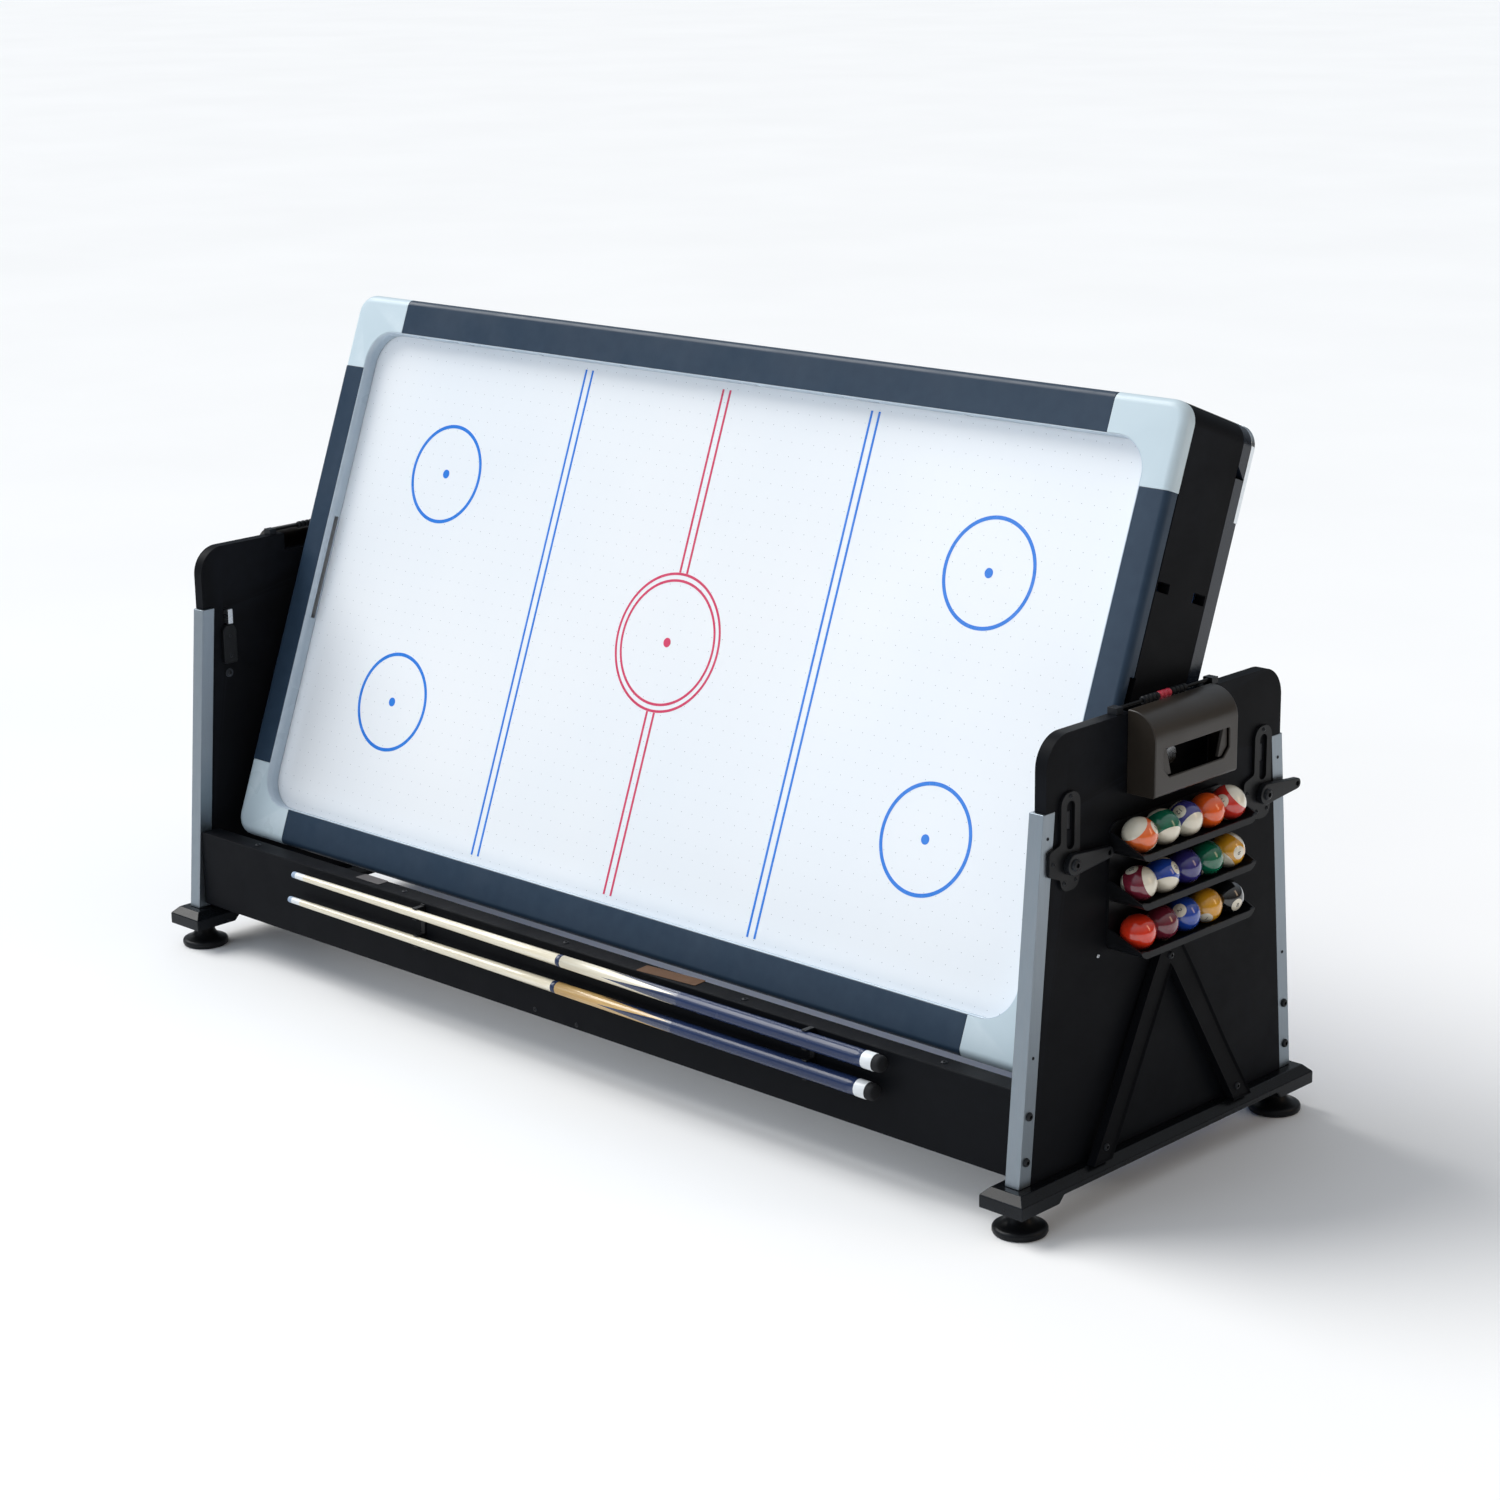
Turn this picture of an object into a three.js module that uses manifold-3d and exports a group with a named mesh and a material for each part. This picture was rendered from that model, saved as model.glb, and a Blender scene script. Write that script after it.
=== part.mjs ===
// Flip-top games table: an air hockey deck on one side and a pool deck on the other,
// hung on two pivots between end panels. Millimetres, +Z up, origin on the floor under
// the middle of the table, +X along its length, -Y towards the player at the cues.
import * as THREE from 'three';
import { mergeVertices } from 'three/addons/utils/BufferGeometryUtils.js';
import Module from 'manifold-3d';

const wasm = await Module();
wasm.setup();

// ---------------------------------------------------------------- driving dimensions
const GAP = 0.3; // clearance between faces that touch on the real table
const SIDES = [['left', -1], ['right', 1]];
const FACES = [['front', -1], ['rear', 1]];

// end panels, with an aluminium profile on each sloping edge
const END_X = 1040; // outer face of an end panel
const PANEL_T = 22;
const PANEL_BOTTOM = 78;
const PANEL_TOP = 782;
const PANEL_CORNER = 52;
const PROFILE_TOP = 665;
const PROFILE_X = 28;
const PROFILE_Y = 28.5;
const EDGE_Y_BOTTOM = 358; // half depth of the panel with its profiles, at the bottom
const EDGE_Y_TOP = 307; // and at the top of the profiles
const NOTCH_Y = 97; // half width of the puck notch in the panel's top edge
const NOTCH_Z = 748;

// feet
const FOOT_X = 1026;
const FOOT_W = 86;
const FOOT_Y = 385;
const FOOT_PAD_Y = 290; // the deeper pads start here
const FOOT_PAD_Z = 44;
const FOOT_MID_Z = 56;
const FOOT_BEVEL = 13;
const BRACE_TOP = 392;
const LEVELER_R = 44;
const LEVELER_Y = 337;
const STEM_R = 8;
const STEM_TOP = 70;

// cross beams
const BEAM_Y = [302, 342];
const BEAM_Z = [86, 231];

// pivot and tilt of the playfield
const PIVOT_Z = 695;
const TILT_DEG = 69.2;
const PIVOT_R = 14;

// playfield: u along X, v across it, n out of the hockey deck
const DECK_U = 993.5;
const DECK_V = 537.5;
const DECK_CORNER = 38;
const HOCKEY_TOP = 93;
const HOCKEY_RAIL_T = 25;
const HOCKEY_FLOOR = 64.5;
const HOCKEY_SHEET_T = 6;
const HOCKEY_IN_U = 935;
const HOCKEY_IN_V = 470;
const CAP = 144;
const CAP_INNER_R = 62;
const GOAL_V = 101;
const GOAL_H = 10;
const POOL_TOP = -101;
const POOL_SKIN = 30;
const POOL_FLOOR = -61;
const POOL_BED_T = 18;
const POOL_IN_U = 905;
const POOL_IN_V = 449;
const APRON_T = 18;

// cues on the front beam
const CUE_LENGTH = 1473;
const CUE_Y = -362;
const CUES = [['upper_cue', 215, -705], ['lower_cue', 163.5, -720]]; // name, height, tip x
const CUE_TIP_R = 6.2;
const CUE_BUTT_R = 14.5;
const CLIP_X = [-355, 601];
const CLIP_W = 10;
const CLIP_Z = [141, 229];

// ball rack, puck boxes, braces and scorers on the end panels
const BALL_R = 28.575;
const BALL_X = 1074;
const BALL_ROWS_Z = [597, 519, 441];
const TRAY_X = [1044, 1107];
const TRAY_Y = 150;
const SHEET = 3;
const PUCK_BOX_X = 1095;
const PUCK_BOX_Y = 106;
const PUCK_BOX_Z = [655, 788];
const PUCK_BOX_R = 45;
const PUCK_BOX_WALL = 4;
const MOUTH_Y = 85;
const MOUTH_Z = [684, 730];
const SCORER_Y = 130;
const SCORER_Z = 789.5;
const BEAD_R = 7;
const BEADS = 11;
const BEAD_L = 10;

// latches
const LATCH_Y = 248;
const LEVER_Z = 577;
const LEVER_L = 84;
const BOLT_Z = [630, 659];
const BOLT_W = 11;
const BOLT_TIP_X = 1003;

// ---------------------------------------------------------------- helpers
const table = new THREE.Group();
const playfield = new THREE.Group();
playfield.position.set(0, 0, PIVOT_Z);
playfield.rotation.x = THREE.MathUtils.degToRad(TILT_DEG);
table.add(playfield);

function finish(color, roughness, metalness = 0) {
  return { color, roughness, metalness };
}

const BLACK = finish(0x1d1f22, 0.45);
const GLOSS_BLACK = finish(0x15171a, 0.2);
const ALUMINIUM = finish(0xc9ced3, 0.35, 0.9);
const STEEL = finish(0xaeb3b8, 0.3, 0.9);
const SLATE = finish(0x465a70, 0.4);
const CAP_GREY = finish(0xc6d6de, 0.35);
const WHITE_DECK = finish(0xe1ecf6, 0.15);
const CLOTH = finish(0x1f5fae, 0.95);
const RAIL_BLACK = finish(0x222326, 0.35);
const MAPLE = finish(0xd9b98a, 0.3);
const BALL_WHITE = finish(0xe9e4d6, 0.12);

function add(name, geometry, look, parent = table) {
  const mesh = new THREE.Mesh(geometry, new THREE.MeshStandardMaterial(look));
  mesh.name = name;
  parent.add(mesh);
  return mesh;
}

function toSolid(geometry) {
  const bare = geometry.clone();
  bare.deleteAttribute('normal');
  bare.deleteAttribute('uv');
  const merged = mergeVertices(bare, 1e-4);
  return new wasm.Manifold(new wasm.Mesh({
    numProp: 3,
    vertProperties: new Float32Array(merged.attributes.position.array),
    triVerts: new Uint32Array(merged.index.array),
  }));
}

function toGeometry(solid) {
  const mesh = solid.getMesh();
  const geometry = new THREE.BufferGeometry();
  geometry.setAttribute('position', new THREE.BufferAttribute(mesh.vertProperties, 3));
  geometry.setIndex(new THREE.BufferAttribute(mesh.triVerts, 1));
  geometry.computeVertexNormals();
  return geometry;
}

function join(...parts) {
  return toGeometry(parts.map(toSolid).reduce((whole, part) => whole.add(part)));
}

function common(a, b) {
  return toGeometry(toSolid(a).intersect(toSolid(b)));
}

function cut(body, ...tools) {
  return toGeometry(tools.map(toSolid).reduce((whole, tool) => whole.subtract(tool), toSolid(body)));
}

// a box from its lowest and highest x, y and z
function block([x0, x1], [y0, y1], [z0, z1]) {
  const box = new THREE.BoxGeometry(Math.abs(x1 - x0), Math.abs(y1 - y0), Math.abs(z1 - z0));
  return box.translate((x0 + x1) / 2, (y0 + y1) / 2, (z0 + z1) / 2);
}

function prism(shape, depth, curveSegments) {
  return new THREE.ExtrudeGeometry(shape, { depth, bevelEnabled: false, curveSegments });
}

// shape drawn in X and Y, between two heights
function prismZ(shape, [z0, z1], curveSegments = 8) {
  return prism(shape, z1 - z0, curveSegments).translate(0, 0, z0);
}

// shape drawn in Y and Z, between two values of x
function prismX(shape, [xa, xb], curveSegments = 8) {
  const [x0, x1] = [Math.min(xa, xb), Math.max(xa, xb)];
  const basis = new THREE.Matrix4().makeBasis(
    new THREE.Vector3(0, 1, 0), new THREE.Vector3(0, 0, 1), new THREE.Vector3(1, 0, 0));
  return prism(shape, x1 - x0, curveSegments).applyMatrix4(basis).translate(x0, 0, 0);
}

// shape drawn in X and Z, between two values of y
function prismY(shape, [ya, yb], curveSegments = 8) {
  const [y0, y1] = [Math.min(ya, yb), Math.max(ya, yb)];
  const basis = new THREE.Matrix4().makeBasis(
    new THREE.Vector3(1, 0, 0), new THREE.Vector3(0, 0, 1), new THREE.Vector3(0, -1, 0));
  return prism(shape, y1 - y0, curveSegments).applyMatrix4(basis).translate(0, y1, 0);
}

function outline(points) {
  return new THREE.Shape(points.map(([a, b]) => new THREE.Vector2(a, b)));
}

function rounded([a0, a1], [b0, b1], r) {
  const shape = new THREE.Shape();
  shape.absarc(a1 - r, b0 + r, r, -Math.PI / 2, 0);
  shape.absarc(a1 - r, b1 - r, r, 0, Math.PI / 2);
  shape.absarc(a0 + r, b1 - r, r, Math.PI / 2, Math.PI);
  shape.absarc(a0 + r, b0 + r, r, Math.PI, Math.PI * 1.5);
  return shape;
}

function rodX(radius, [x0, x1], y, z, segments = 24) {
  const rod = new THREE.CylinderGeometry(radius, radius, Math.abs(x1 - x0), segments);
  return rod.rotateZ(Math.PI / 2).translate((x0 + x1) / 2, y, z);
}

function rodZ(radius, [z0, z1], x, y, segments = 24) {
  const rod = new THREE.CylinderGeometry(radius, radius, z1 - z0, segments);
  return rod.rotateX(Math.PI / 2).translate(x, y, (z0 + z1) / 2);
}

function turned(profile, segments = 24) {
  return new THREE.LatheGeometry(profile.map(([r, h]) => new THREE.Vector2(r, h)), segments);
}

// half depth of the end panel's sloping edge at a height
function edgeY(z) {
  const t = (z - PANEL_BOTTOM) / (PROFILE_TOP - PANEL_BOTTOM);
  return EDGE_Y_BOTTOM + (EDGE_Y_TOP - EDGE_Y_BOTTOM) * t;
}

// ---------------------------------------------------------------- stand
function endPanel(name, side) {
  const z0 = PANEL_BOTTOM + GAP;
  const inset = PROFILE_Y + GAP;
  const step = PROFILE_TOP + GAP;
  const r = PANEL_CORNER;
  const topY = EDGE_Y_TOP - 6;
  const shape = new THREE.Shape();
  shape.moveTo(-edgeY(z0) + inset, z0);
  shape.lineTo(edgeY(z0) - inset, z0);
  shape.lineTo(edgeY(step) - inset, step);
  shape.lineTo(topY, step);
  shape.absarc(topY - r, PANEL_TOP - r, r, 0, Math.PI / 2);
  shape.lineTo(NOTCH_Y, PANEL_TOP);
  shape.lineTo(NOTCH_Y, NOTCH_Z);
  shape.lineTo(-NOTCH_Y, NOTCH_Z);
  shape.lineTo(-NOTCH_Y, PANEL_TOP);
  shape.absarc(r - topY, PANEL_TOP - r, r, Math.PI / 2, Math.PI);
  shape.lineTo(-topY, step);
  shape.lineTo(-edgeY(step) + inset, step);
  const span = [side * (END_X - PANEL_T), side * END_X];
  const through = [side * (END_X - PANEL_T - 5), side * (END_X + 5)];
  const holes = [rodX(PIVOT_R + GAP, through, 0, PIVOT_Z, 32)];
  for (const y of [-LATCH_Y, LATCH_Y]) {
    const half = BOLT_W / 2 + GAP;
    holes.push(block(through, [y - half, y + half], [BOLT_Z[0] - GAP, BOLT_Z[1] + GAP]));
    holes.push(rodX(6 + GAP, through, y, LEVER_Z, 16));
  }
  add(name, cut(prismX(shape, span), ...holes), BLACK);
}

function edgeProfile(name, side, face) {
  const bottom = PANEL_BOTTOM + GAP;
  const shape = outline([
    [face * edgeY(bottom), bottom],
    [face * (edgeY(bottom) - PROFILE_Y), bottom],
    [face * (edgeY(PROFILE_TOP) - PROFILE_Y), PROFILE_TOP],
    [face * edgeY(PROFILE_TOP), PROFILE_TOP],
  ]);
  add(name, prismX(shape, [side * (END_X - PROFILE_X), side * END_X]), ALUMINIUM);
}

function footBar(name, side) {
  const half = FOOT_W / 2;
  const top = PANEL_BOTTOM;
  const sides = outline([
    [-FOOT_Y, FOOT_PAD_Z], [-FOOT_PAD_Y - 4, FOOT_PAD_Z], [-FOOT_PAD_Y + 8, FOOT_MID_Z],
    [FOOT_PAD_Y - 8, FOOT_MID_Z], [FOOT_PAD_Y + 4, FOOT_PAD_Z], [FOOT_Y, FOOT_PAD_Z],
    [FOOT_Y, top - FOOT_BEVEL], [FOOT_Y - FOOT_BEVEL, top], [FOOT_BEVEL - FOOT_Y, top],
    [-FOOT_Y, top - FOOT_BEVEL],
  ]);
  const ends = outline([
    [-half, FOOT_PAD_Z - 1], [half, FOOT_PAD_Z - 1], [half, top - FOOT_BEVEL],
    [half - FOOT_BEVEL, top], [FOOT_BEVEL - half, top], [-half, top - FOOT_BEVEL],
  ]);
  const span = [side * FOOT_X - half, side * FOOT_X + half];
  const bar = common(prismX(sides, span),
    prismY(ends, [-FOOT_Y, FOOT_Y]).translate(side * FOOT_X, 0, 0));
  const sockets = [-LEVELER_Y, LEVELER_Y]
    .map((y) => rodZ(STEM_R + GAP, [FOOT_PAD_Z - 5, STEM_TOP + 2], side * FOOT_X, y));
  add(name, cut(bar, ...sockets), GLOSS_BLACK);
}

function leveler(name, side, face) {
  const profile = [
    [0, 0], [LEVELER_R - 6, 0], [LEVELER_R - 1, 3], [LEVELER_R, 8], [LEVELER_R - 3, 13],
    [30, 17], [21, 26], [18, 36], [18, FOOT_PAD_Z - GAP], [STEM_R, FOOT_PAD_Z - GAP],
    [STEM_R, STEM_TOP], [0, STEM_TOP],
  ];
  const foot = turned(profile, 24).rotateX(Math.PI / 2);
  add(name, foot.translate(side * FOOT_X, face * LEVELER_Y, 0), BLACK);
}

// cross beam between the aluminium profiles, just above the foot bars
function crossBeam(name, face) {
  const half = END_X - PROFILE_X - GAP;
  add(name, block([-half, half], BEAM_Y.map((y) => face * y), BEAM_Z), BLACK);
}

// inverted V strut outside an end panel: it leans out from the panel to the foot bar's edge
function brace(name, side) {
  const bottom = PANEL_BOTTOM + GAP;
  const leg = (face) => {
    const outer = new THREE.SplineCurve([
      new THREE.Vector2(face * 22, BRACE_TOP), new THREE.Vector2(face * 66, 320),
      new THREE.Vector2(face * 140, 190), new THREE.Vector2(face * 208, bottom),
    ]).getPoints(10);
    const inner = new THREE.SplineCurve([
      new THREE.Vector2(face * 162, bottom), new THREE.Vector2(face * 96, 190),
      new THREE.Vector2(face * 24, 312), new THREE.Vector2(0, 352),
    ]).getPoints(10);
    return [...outer, ...inner];
  };
  const right = leg(1);
  const left = leg(-1).reverse();
  const shape = new THREE.Shape([...right, ...left.slice(1)]);
  const lean = FOOT_BEVEL / (BRACE_TOP - bottom);
  const leaning = new THREE.Matrix4().set(
    1, 0, -side * lean, side * lean * BRACE_TOP, 0, 1, 0, 0, 0, 0, 1, 0, 0, 0, 0, 1);
  const strut = prismX(shape, [side * (END_X + GAP), side * (FOOT_X + FOOT_W / 2 - FOOT_BEVEL)]);
  add(name, strut.applyMatrix4(leaning), BLACK);
}

// ---------------------------------------------------------------- puck boxes and scorers
function puckBoxOutline(side, wall) {
  const r = PUCK_BOX_R - wall;
  const x = PUCK_BOX_X - wall;
  const back = END_X + GAP - (wall ? 5 : 0);
  const shape = new THREE.Shape();
  shape.moveTo(back, PUCK_BOX_Z[0] + wall);
  shape.lineTo(x, PUCK_BOX_Z[0] + wall);
  shape.absarc(x - r, PUCK_BOX_Z[1] - wall - r, r, 0, Math.PI / 2);
  shape.lineTo(back, PUCK_BOX_Z[1] - wall);
  return new THREE.Shape(shape.getPoints(8).map((p) => new THREE.Vector2(side * p.x, p.y)));
}

function puckBox(name, side) {
  const inside = PUCK_BOX_Y - PUCK_BOX_WALL;
  const mouth = rounded([-MOUTH_Y, MOUTH_Y], MOUTH_Z, 6);
  add(name, cut(
    prismY(puckBoxOutline(side, 0), [-PUCK_BOX_Y, PUCK_BOX_Y]),
    prismY(puckBoxOutline(side, PUCK_BOX_WALL), [-inside, inside]),
    prismX(mouth, [side * (PUCK_BOX_X - 20), side * (PUCK_BOX_X + 5)], 3),
  ), BLACK);
}

const SCORER_X = END_X - PANEL_T / 2;

// rail over the notch in the panel's top edge: two end blocks and the rod between them
function scorerRail(name, side) {
  const x = side * SCORER_X;
  const tall = [PANEL_TOP + GAP, SCORER_Z + 4];
  const ends = [-1, 1].map((face) => (
    block([x - 9, x + 9], [face * (SCORER_Y - 16), face * SCORER_Y], tall)));
  const rod = new THREE.CylinderGeometry(3, 3, 2 * SCORER_Y - 20, 12).translate(x, 0, SCORER_Z);
  add(name, join(...ends, rod), BLACK);
}

// the row of counting beads on the rod
function scorerBeads(name, side) {
  const half = BEADS * BEAD_L / 2;
  const profile = [[3.6, -half]];
  for (let i = 0; i < BEADS; i += 1) {
    const y = -half + i * BEAD_L;
    profile.push([4.6, y], [BEAD_R, y + 2.5], [BEAD_R, y + BEAD_L - 2.5]);
  }
  profile.push([4.6, half], [3.6, half], [3.6, -half]);
  add(name, turned(profile, 8).translate(side * SCORER_X, 0, SCORER_Z), BLACK);
}

// ---------------------------------------------------------------- ball rack
// three trays with sloping ends and a low lip, on one back plate
function trayOutline(floor, grow, height) {
  const wall = TRAY_Y - grow;
  const r = 20 - grow;
  const top = floor + height;
  const shape = new THREE.Shape();
  shape.moveTo(-wall, top);
  shape.lineTo(-wall, floor + grow + r);
  shape.absarc(-wall + r, floor + grow + r, r, Math.PI, Math.PI * 1.5);
  shape.absarc(wall - r, floor + grow + r, r, Math.PI * 1.5, Math.PI * 2);
  shape.lineTo(wall, top);
  return shape;
}

function ballRack() {
  const lip = 8;
  const trays = BALL_ROWS_Z.map((z) => {
    const floor = z - BALL_R - SHEET - 0.4;
    const body = prismX(trayOutline(floor, 0, 38), TRAY_X, 5);
    const hollow = prismX(trayOutline(floor, SHEET, 45), [TRAY_X[0] - 1, TRAY_X[1] - SHEET], 5);
    const front = prismX(trayOutline(floor + lip, SHEET, 45), [TRAY_X[1] - 10, TRAY_X[1] + 1], 5);
    const slope = prismY(outline([
      [TRAY_X[0] + SHEET, floor + 39], [TRAY_X[1] + SHEET, floor + lip + SHEET],
      [TRAY_X[1] + SHEET, floor + 50], [TRAY_X[0] + SHEET, floor + 50],
    ]), [-TRAY_Y - 5, TRAY_Y + 5]);
    return cut(body, hollow, front, slope);
  });
  const low = BALL_ROWS_Z[2] - BALL_R - SHEET - 0.4;
  const high = BALL_ROWS_Z[0] + 20;
  const back = prismX(rounded([-TRAY_Y, TRAY_Y], [low, high], 20),
    [END_X + GAP, TRAY_X[0] + 0.2], 5);
  add('ball_rack', join(back, ...trays), BLACK);
}

// five balls of a tray, lifted out together
function ballRow(name, z) {
  const parts = [];
  for (let i = -2; i <= 2; i += 1) {
    const y = i * (2 * BALL_R + 0.2);
    parts.push(new THREE.SphereGeometry(BALL_R, 12, 8).translate(BALL_X, y, z));
  }
  const link = new THREE.CylinderGeometry(5, 5, 8 * BALL_R, 8).translate(BALL_X, 0, z);
  add(name, join(...parts, link), BALL_WHITE);
}

// ---------------------------------------------------------------- latches
// handle outside the panel, pointing to +Y, with its shaft through the panel
function latchLever(name, side, y) {
  const hub = 17;
  const tip = 9;
  const slope = Math.acos((hub - tip) / LEVER_L);
  const shape = new THREE.Shape();
  shape.absarc(0, 0, hub, slope, Math.PI * 2 - slope);
  shape.absarc(LEVER_L, 0, tip, -slope, slope);
  const eye = new THREE.Path();
  eye.absarc(LEVER_L, 0, 4, 0, Math.PI * 2, true);
  shape.holes.push(eye);
  const handle = prismX(shape, [side * (END_X + 6), side * (END_X + 16)], 8).translate(0, y, LEVER_Z);
  const shaft = rodX(6, [side * (END_X - PANEL_T + 1), side * (END_X + 8)], y, LEVER_Z, 16);
  add(name, join(handle, shaft), GLOSS_BLACK);
}

// flat steel bolt that slides through the panel into the deck's end
function latchBolt(name, side, y) {
  const half = BOLT_W / 2;
  add(name, block([side * BOLT_TIP_X, side * (END_X - GAP)], [y - half, y + half], BOLT_Z), STEEL);
}

// ---------------------------------------------------------------- cues
function cue(name, z, tipX) {
  const profile = [
    [0, 0], [CUE_TIP_R - 0.8, 0], [CUE_TIP_R, 3], [CUE_TIP_R, 28], [9.2, 560],
    [10.6, 730], [13.6, 1240], [CUE_BUTT_R, 1420], [CUE_BUTT_R, CUE_LENGTH - 3],
    [CUE_BUTT_R - 3, CUE_LENGTH], [0, CUE_LENGTH],
  ];
  const stick = turned(profile, 16).rotateZ(-Math.PI / 2);
  add(name, stick.translate(tipX, CUE_Y, z), MAPLE);
}

// radius of a cue at a distance from its tip
function cueRadius(d) {
  if (d < 560) return CUE_TIP_R + (9.2 - CUE_TIP_R) * (d - 28) / 532;
  return 13.6 + (CUE_BUTT_R - 13.6) * (d - 1240) / 180;
}

// plate on the beam with a U-shaped cradle for each cue
function cueClip(name, x) {
  const face = -BEAM_Y[1] - GAP;
  const parts = [block([x - CLIP_W / 2, x + CLIP_W / 2], [face - 3, face], CLIP_Z)];
  const bores = CUES.map(([, z, tipX]) => {
    const r = cueRadius(x - tipX) + 0.8;
    const arm = new THREE.Shape();
    arm.moveTo(face - 1, z - r - 2.5);
    arm.lineTo(face - 1, z + r + 2.5);
    arm.lineTo(CUE_Y - 3, z + r + 2.5);
    arm.lineTo(CUE_Y - 3, z - r - 2.5);
    parts.push(prismX(arm, [x - CLIP_W / 2, x + CLIP_W / 2]));
    const bore = new THREE.Shape();
    bore.absarc(CUE_Y, z, r, -Math.PI / 2, Math.PI / 2);
    bore.lineTo(CUE_Y - 10, z + r);
    bore.lineTo(CUE_Y - 10, z - r);
    return prismX(bore, [x - CLIP_W, x + CLIP_W]);
  });
  add(name, cut(join(...parts), ...bores), BLACK);
}

// ---------------------------------------------------------------- playfield
const UNDER_RAIL = HOCKEY_TOP - HOCKEY_RAIL_T;
const APRON_N = [POOL_TOP + POOL_SKIN + GAP, UNDER_RAIL - GAP];

// the deck's plan, with its rounded corners, between two heights
function deckPlan(range) {
  return prismZ(rounded([-DECK_U, DECK_U], [-DECK_V, DECK_V], DECK_CORNER), range, 5);
}

// end apron with its outer corners rounded, keeper slots for the bolts and the goal slot
function endApron(name, side) {
  const wide = [-DECK_V - 5, DECK_V + 5];
  const board = common(deckPlan(APRON_N), block([DECK_U - APRON_T, DECK_U + 5], wide, [-200, 200]));
  const across = [DECK_U - APRON_T - 5, DECK_U + 5];
  const slots = [block(across, [-GOAL_V, GOAL_V], [HOCKEY_FLOOR, UNDER_RAIL])];
  const low = PIVOT_Z - BOLT_Z[1] - 2;
  const high = PIVOT_Z - BOLT_Z[0] + 1;
  for (const v of [-LATCH_Y, LATCH_Y]) {
    for (const [n0, n1] of [[low, high], [-high, -low]]) {
      slots.push(block(across, [v - 8, v + 8], [n0, n1]));
    }
  }
  const apron = cut(board, ...slots);
  if (side < 0) apron.rotateZ(Math.PI);
  add(name, apron, BLACK, playfield);
}

function longApron(name, face) {
  const u = DECK_U - APRON_T - GAP;
  const board = block([-u, u], [face * (DECK_V - APRON_T), face * (DECK_V + 5)], APRON_N);
  add(name, common(deckPlan(APRON_N), board), BLACK, playfield);
}

// rail section: a = distance across the rail, rounded on its outer top edge
function railSection(inner, outer) {
  const r = 12;
  const shape = new THREE.Shape();
  shape.moveTo(inner, UNDER_RAIL);
  shape.lineTo(outer, UNDER_RAIL);
  shape.absarc(outer - r, HOCKEY_TOP - r, r, 0, Math.PI / 2);
  shape.lineTo(inner, HOCKEY_TOP);
  return shape;
}

function hockeyRailLong(name, face) {
  const u = DECK_U - CAP - GAP;
  const rail = prismX(railSection(HOCKEY_IN_V, DECK_V - 1), [-u, u], 5);
  if (face < 0) rail.rotateZ(Math.PI);
  add(name, rail, SLATE, playfield);
}

function hockeyRailEnd(name, side) {
  const v = DECK_V - CAP - GAP;
  const rail = prismY(railSection(HOCKEY_IN_U, DECK_U - 1), [-v, v], 5);
  const goal = block([HOCKEY_IN_U - 5, DECK_U + 5], [-GOAL_V, GOAL_V],
    [UNDER_RAIL - 1, UNDER_RAIL + GOAL_H]);
  const slotted = cut(rail, goal);
  if (side < 0) slotted.rotateZ(Math.PI);
  add(name, slotted, SLATE, playfield);
}

// moulded corner of the hockey rails, with a concave inner corner
function hockeyCap(name, side, face) {
  const r = DECK_CORNER;
  const shape = new THREE.Shape();
  shape.moveTo(DECK_U - CAP, DECK_V);
  shape.lineTo(DECK_U - CAP, HOCKEY_IN_V);
  shape.lineTo(HOCKEY_IN_U - CAP_INNER_R, HOCKEY_IN_V);
  shape.absarc(HOCKEY_IN_U - CAP_INNER_R, HOCKEY_IN_V - CAP_INNER_R, CAP_INNER_R,
    Math.PI / 2, 0, true);
  shape.lineTo(HOCKEY_IN_U, DECK_V - CAP);
  shape.lineTo(DECK_U, DECK_V - CAP);
  shape.absarc(DECK_U - r, DECK_V - r, r, 0, Math.PI / 2);
  const points = shape.getPoints(6).map((p) => new THREE.Vector2(side * p.x, face * p.y));
  add(name, prismZ(new THREE.Shape(points), [UNDER_RAIL, HOCKEY_TOP]), CAP_GREY, playfield);
}

function hockeySurface() {
  const u = DECK_U - APRON_T - 0.5;
  const v = DECK_V - APRON_T - 0.5;
  const sheet = block([-u, u], [-v, v], [HOCKEY_FLOOR - HOCKEY_SHEET_T, HOCKEY_FLOOR]);
  add('hockey_surface', sheet, WHITE_DECK, playfield);
}

// pool pockets: centres and radii on the deck
const POCKETS = [];
for (const u of [-1, 1]) {
  for (const v of [-1, 1]) POCKETS.push([u * 922, v * 466, 50]);
}
for (const v of [-1, 1]) POCKETS.push([0, v * 470, 44]);

function pocketBores([n0, n1]) {
  return POCKETS.map(([u, v, r]) => rodZ(r, [n0, n1], u, v, 28));
}

// bed board, cut off straight at the corner pockets and notched for the middle ones
function poolBed() {
  const u = DECK_U - APRON_T - 0.5;
  const v = DECK_V - APRON_T - 0.5;
  const [cornerU, cornerV, cornerR] = POCKETS.find(([a, b]) => a > 0 && b > 0);
  const reach = cornerU + cornerV - cornerR * Math.SQRT2;
  const [, middleV, middleR] = POCKETS[POCKETS.length - 1];
  const half = [
    [u, reach - u], [reach - v, v], [middleR, v], [middleR, middleV - middleR],
    [-middleR, middleV - middleR], [-middleR, v], [v - reach, v], [-u, reach - u],
  ];
  const other = half.map(([a, b]) => [-a, -b]);
  const board = prismZ(outline([...half, ...other]), [POOL_FLOOR, POOL_FLOOR + POOL_BED_T]);
  add('pool_bed', board, CLOTH, playfield);
}

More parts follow.
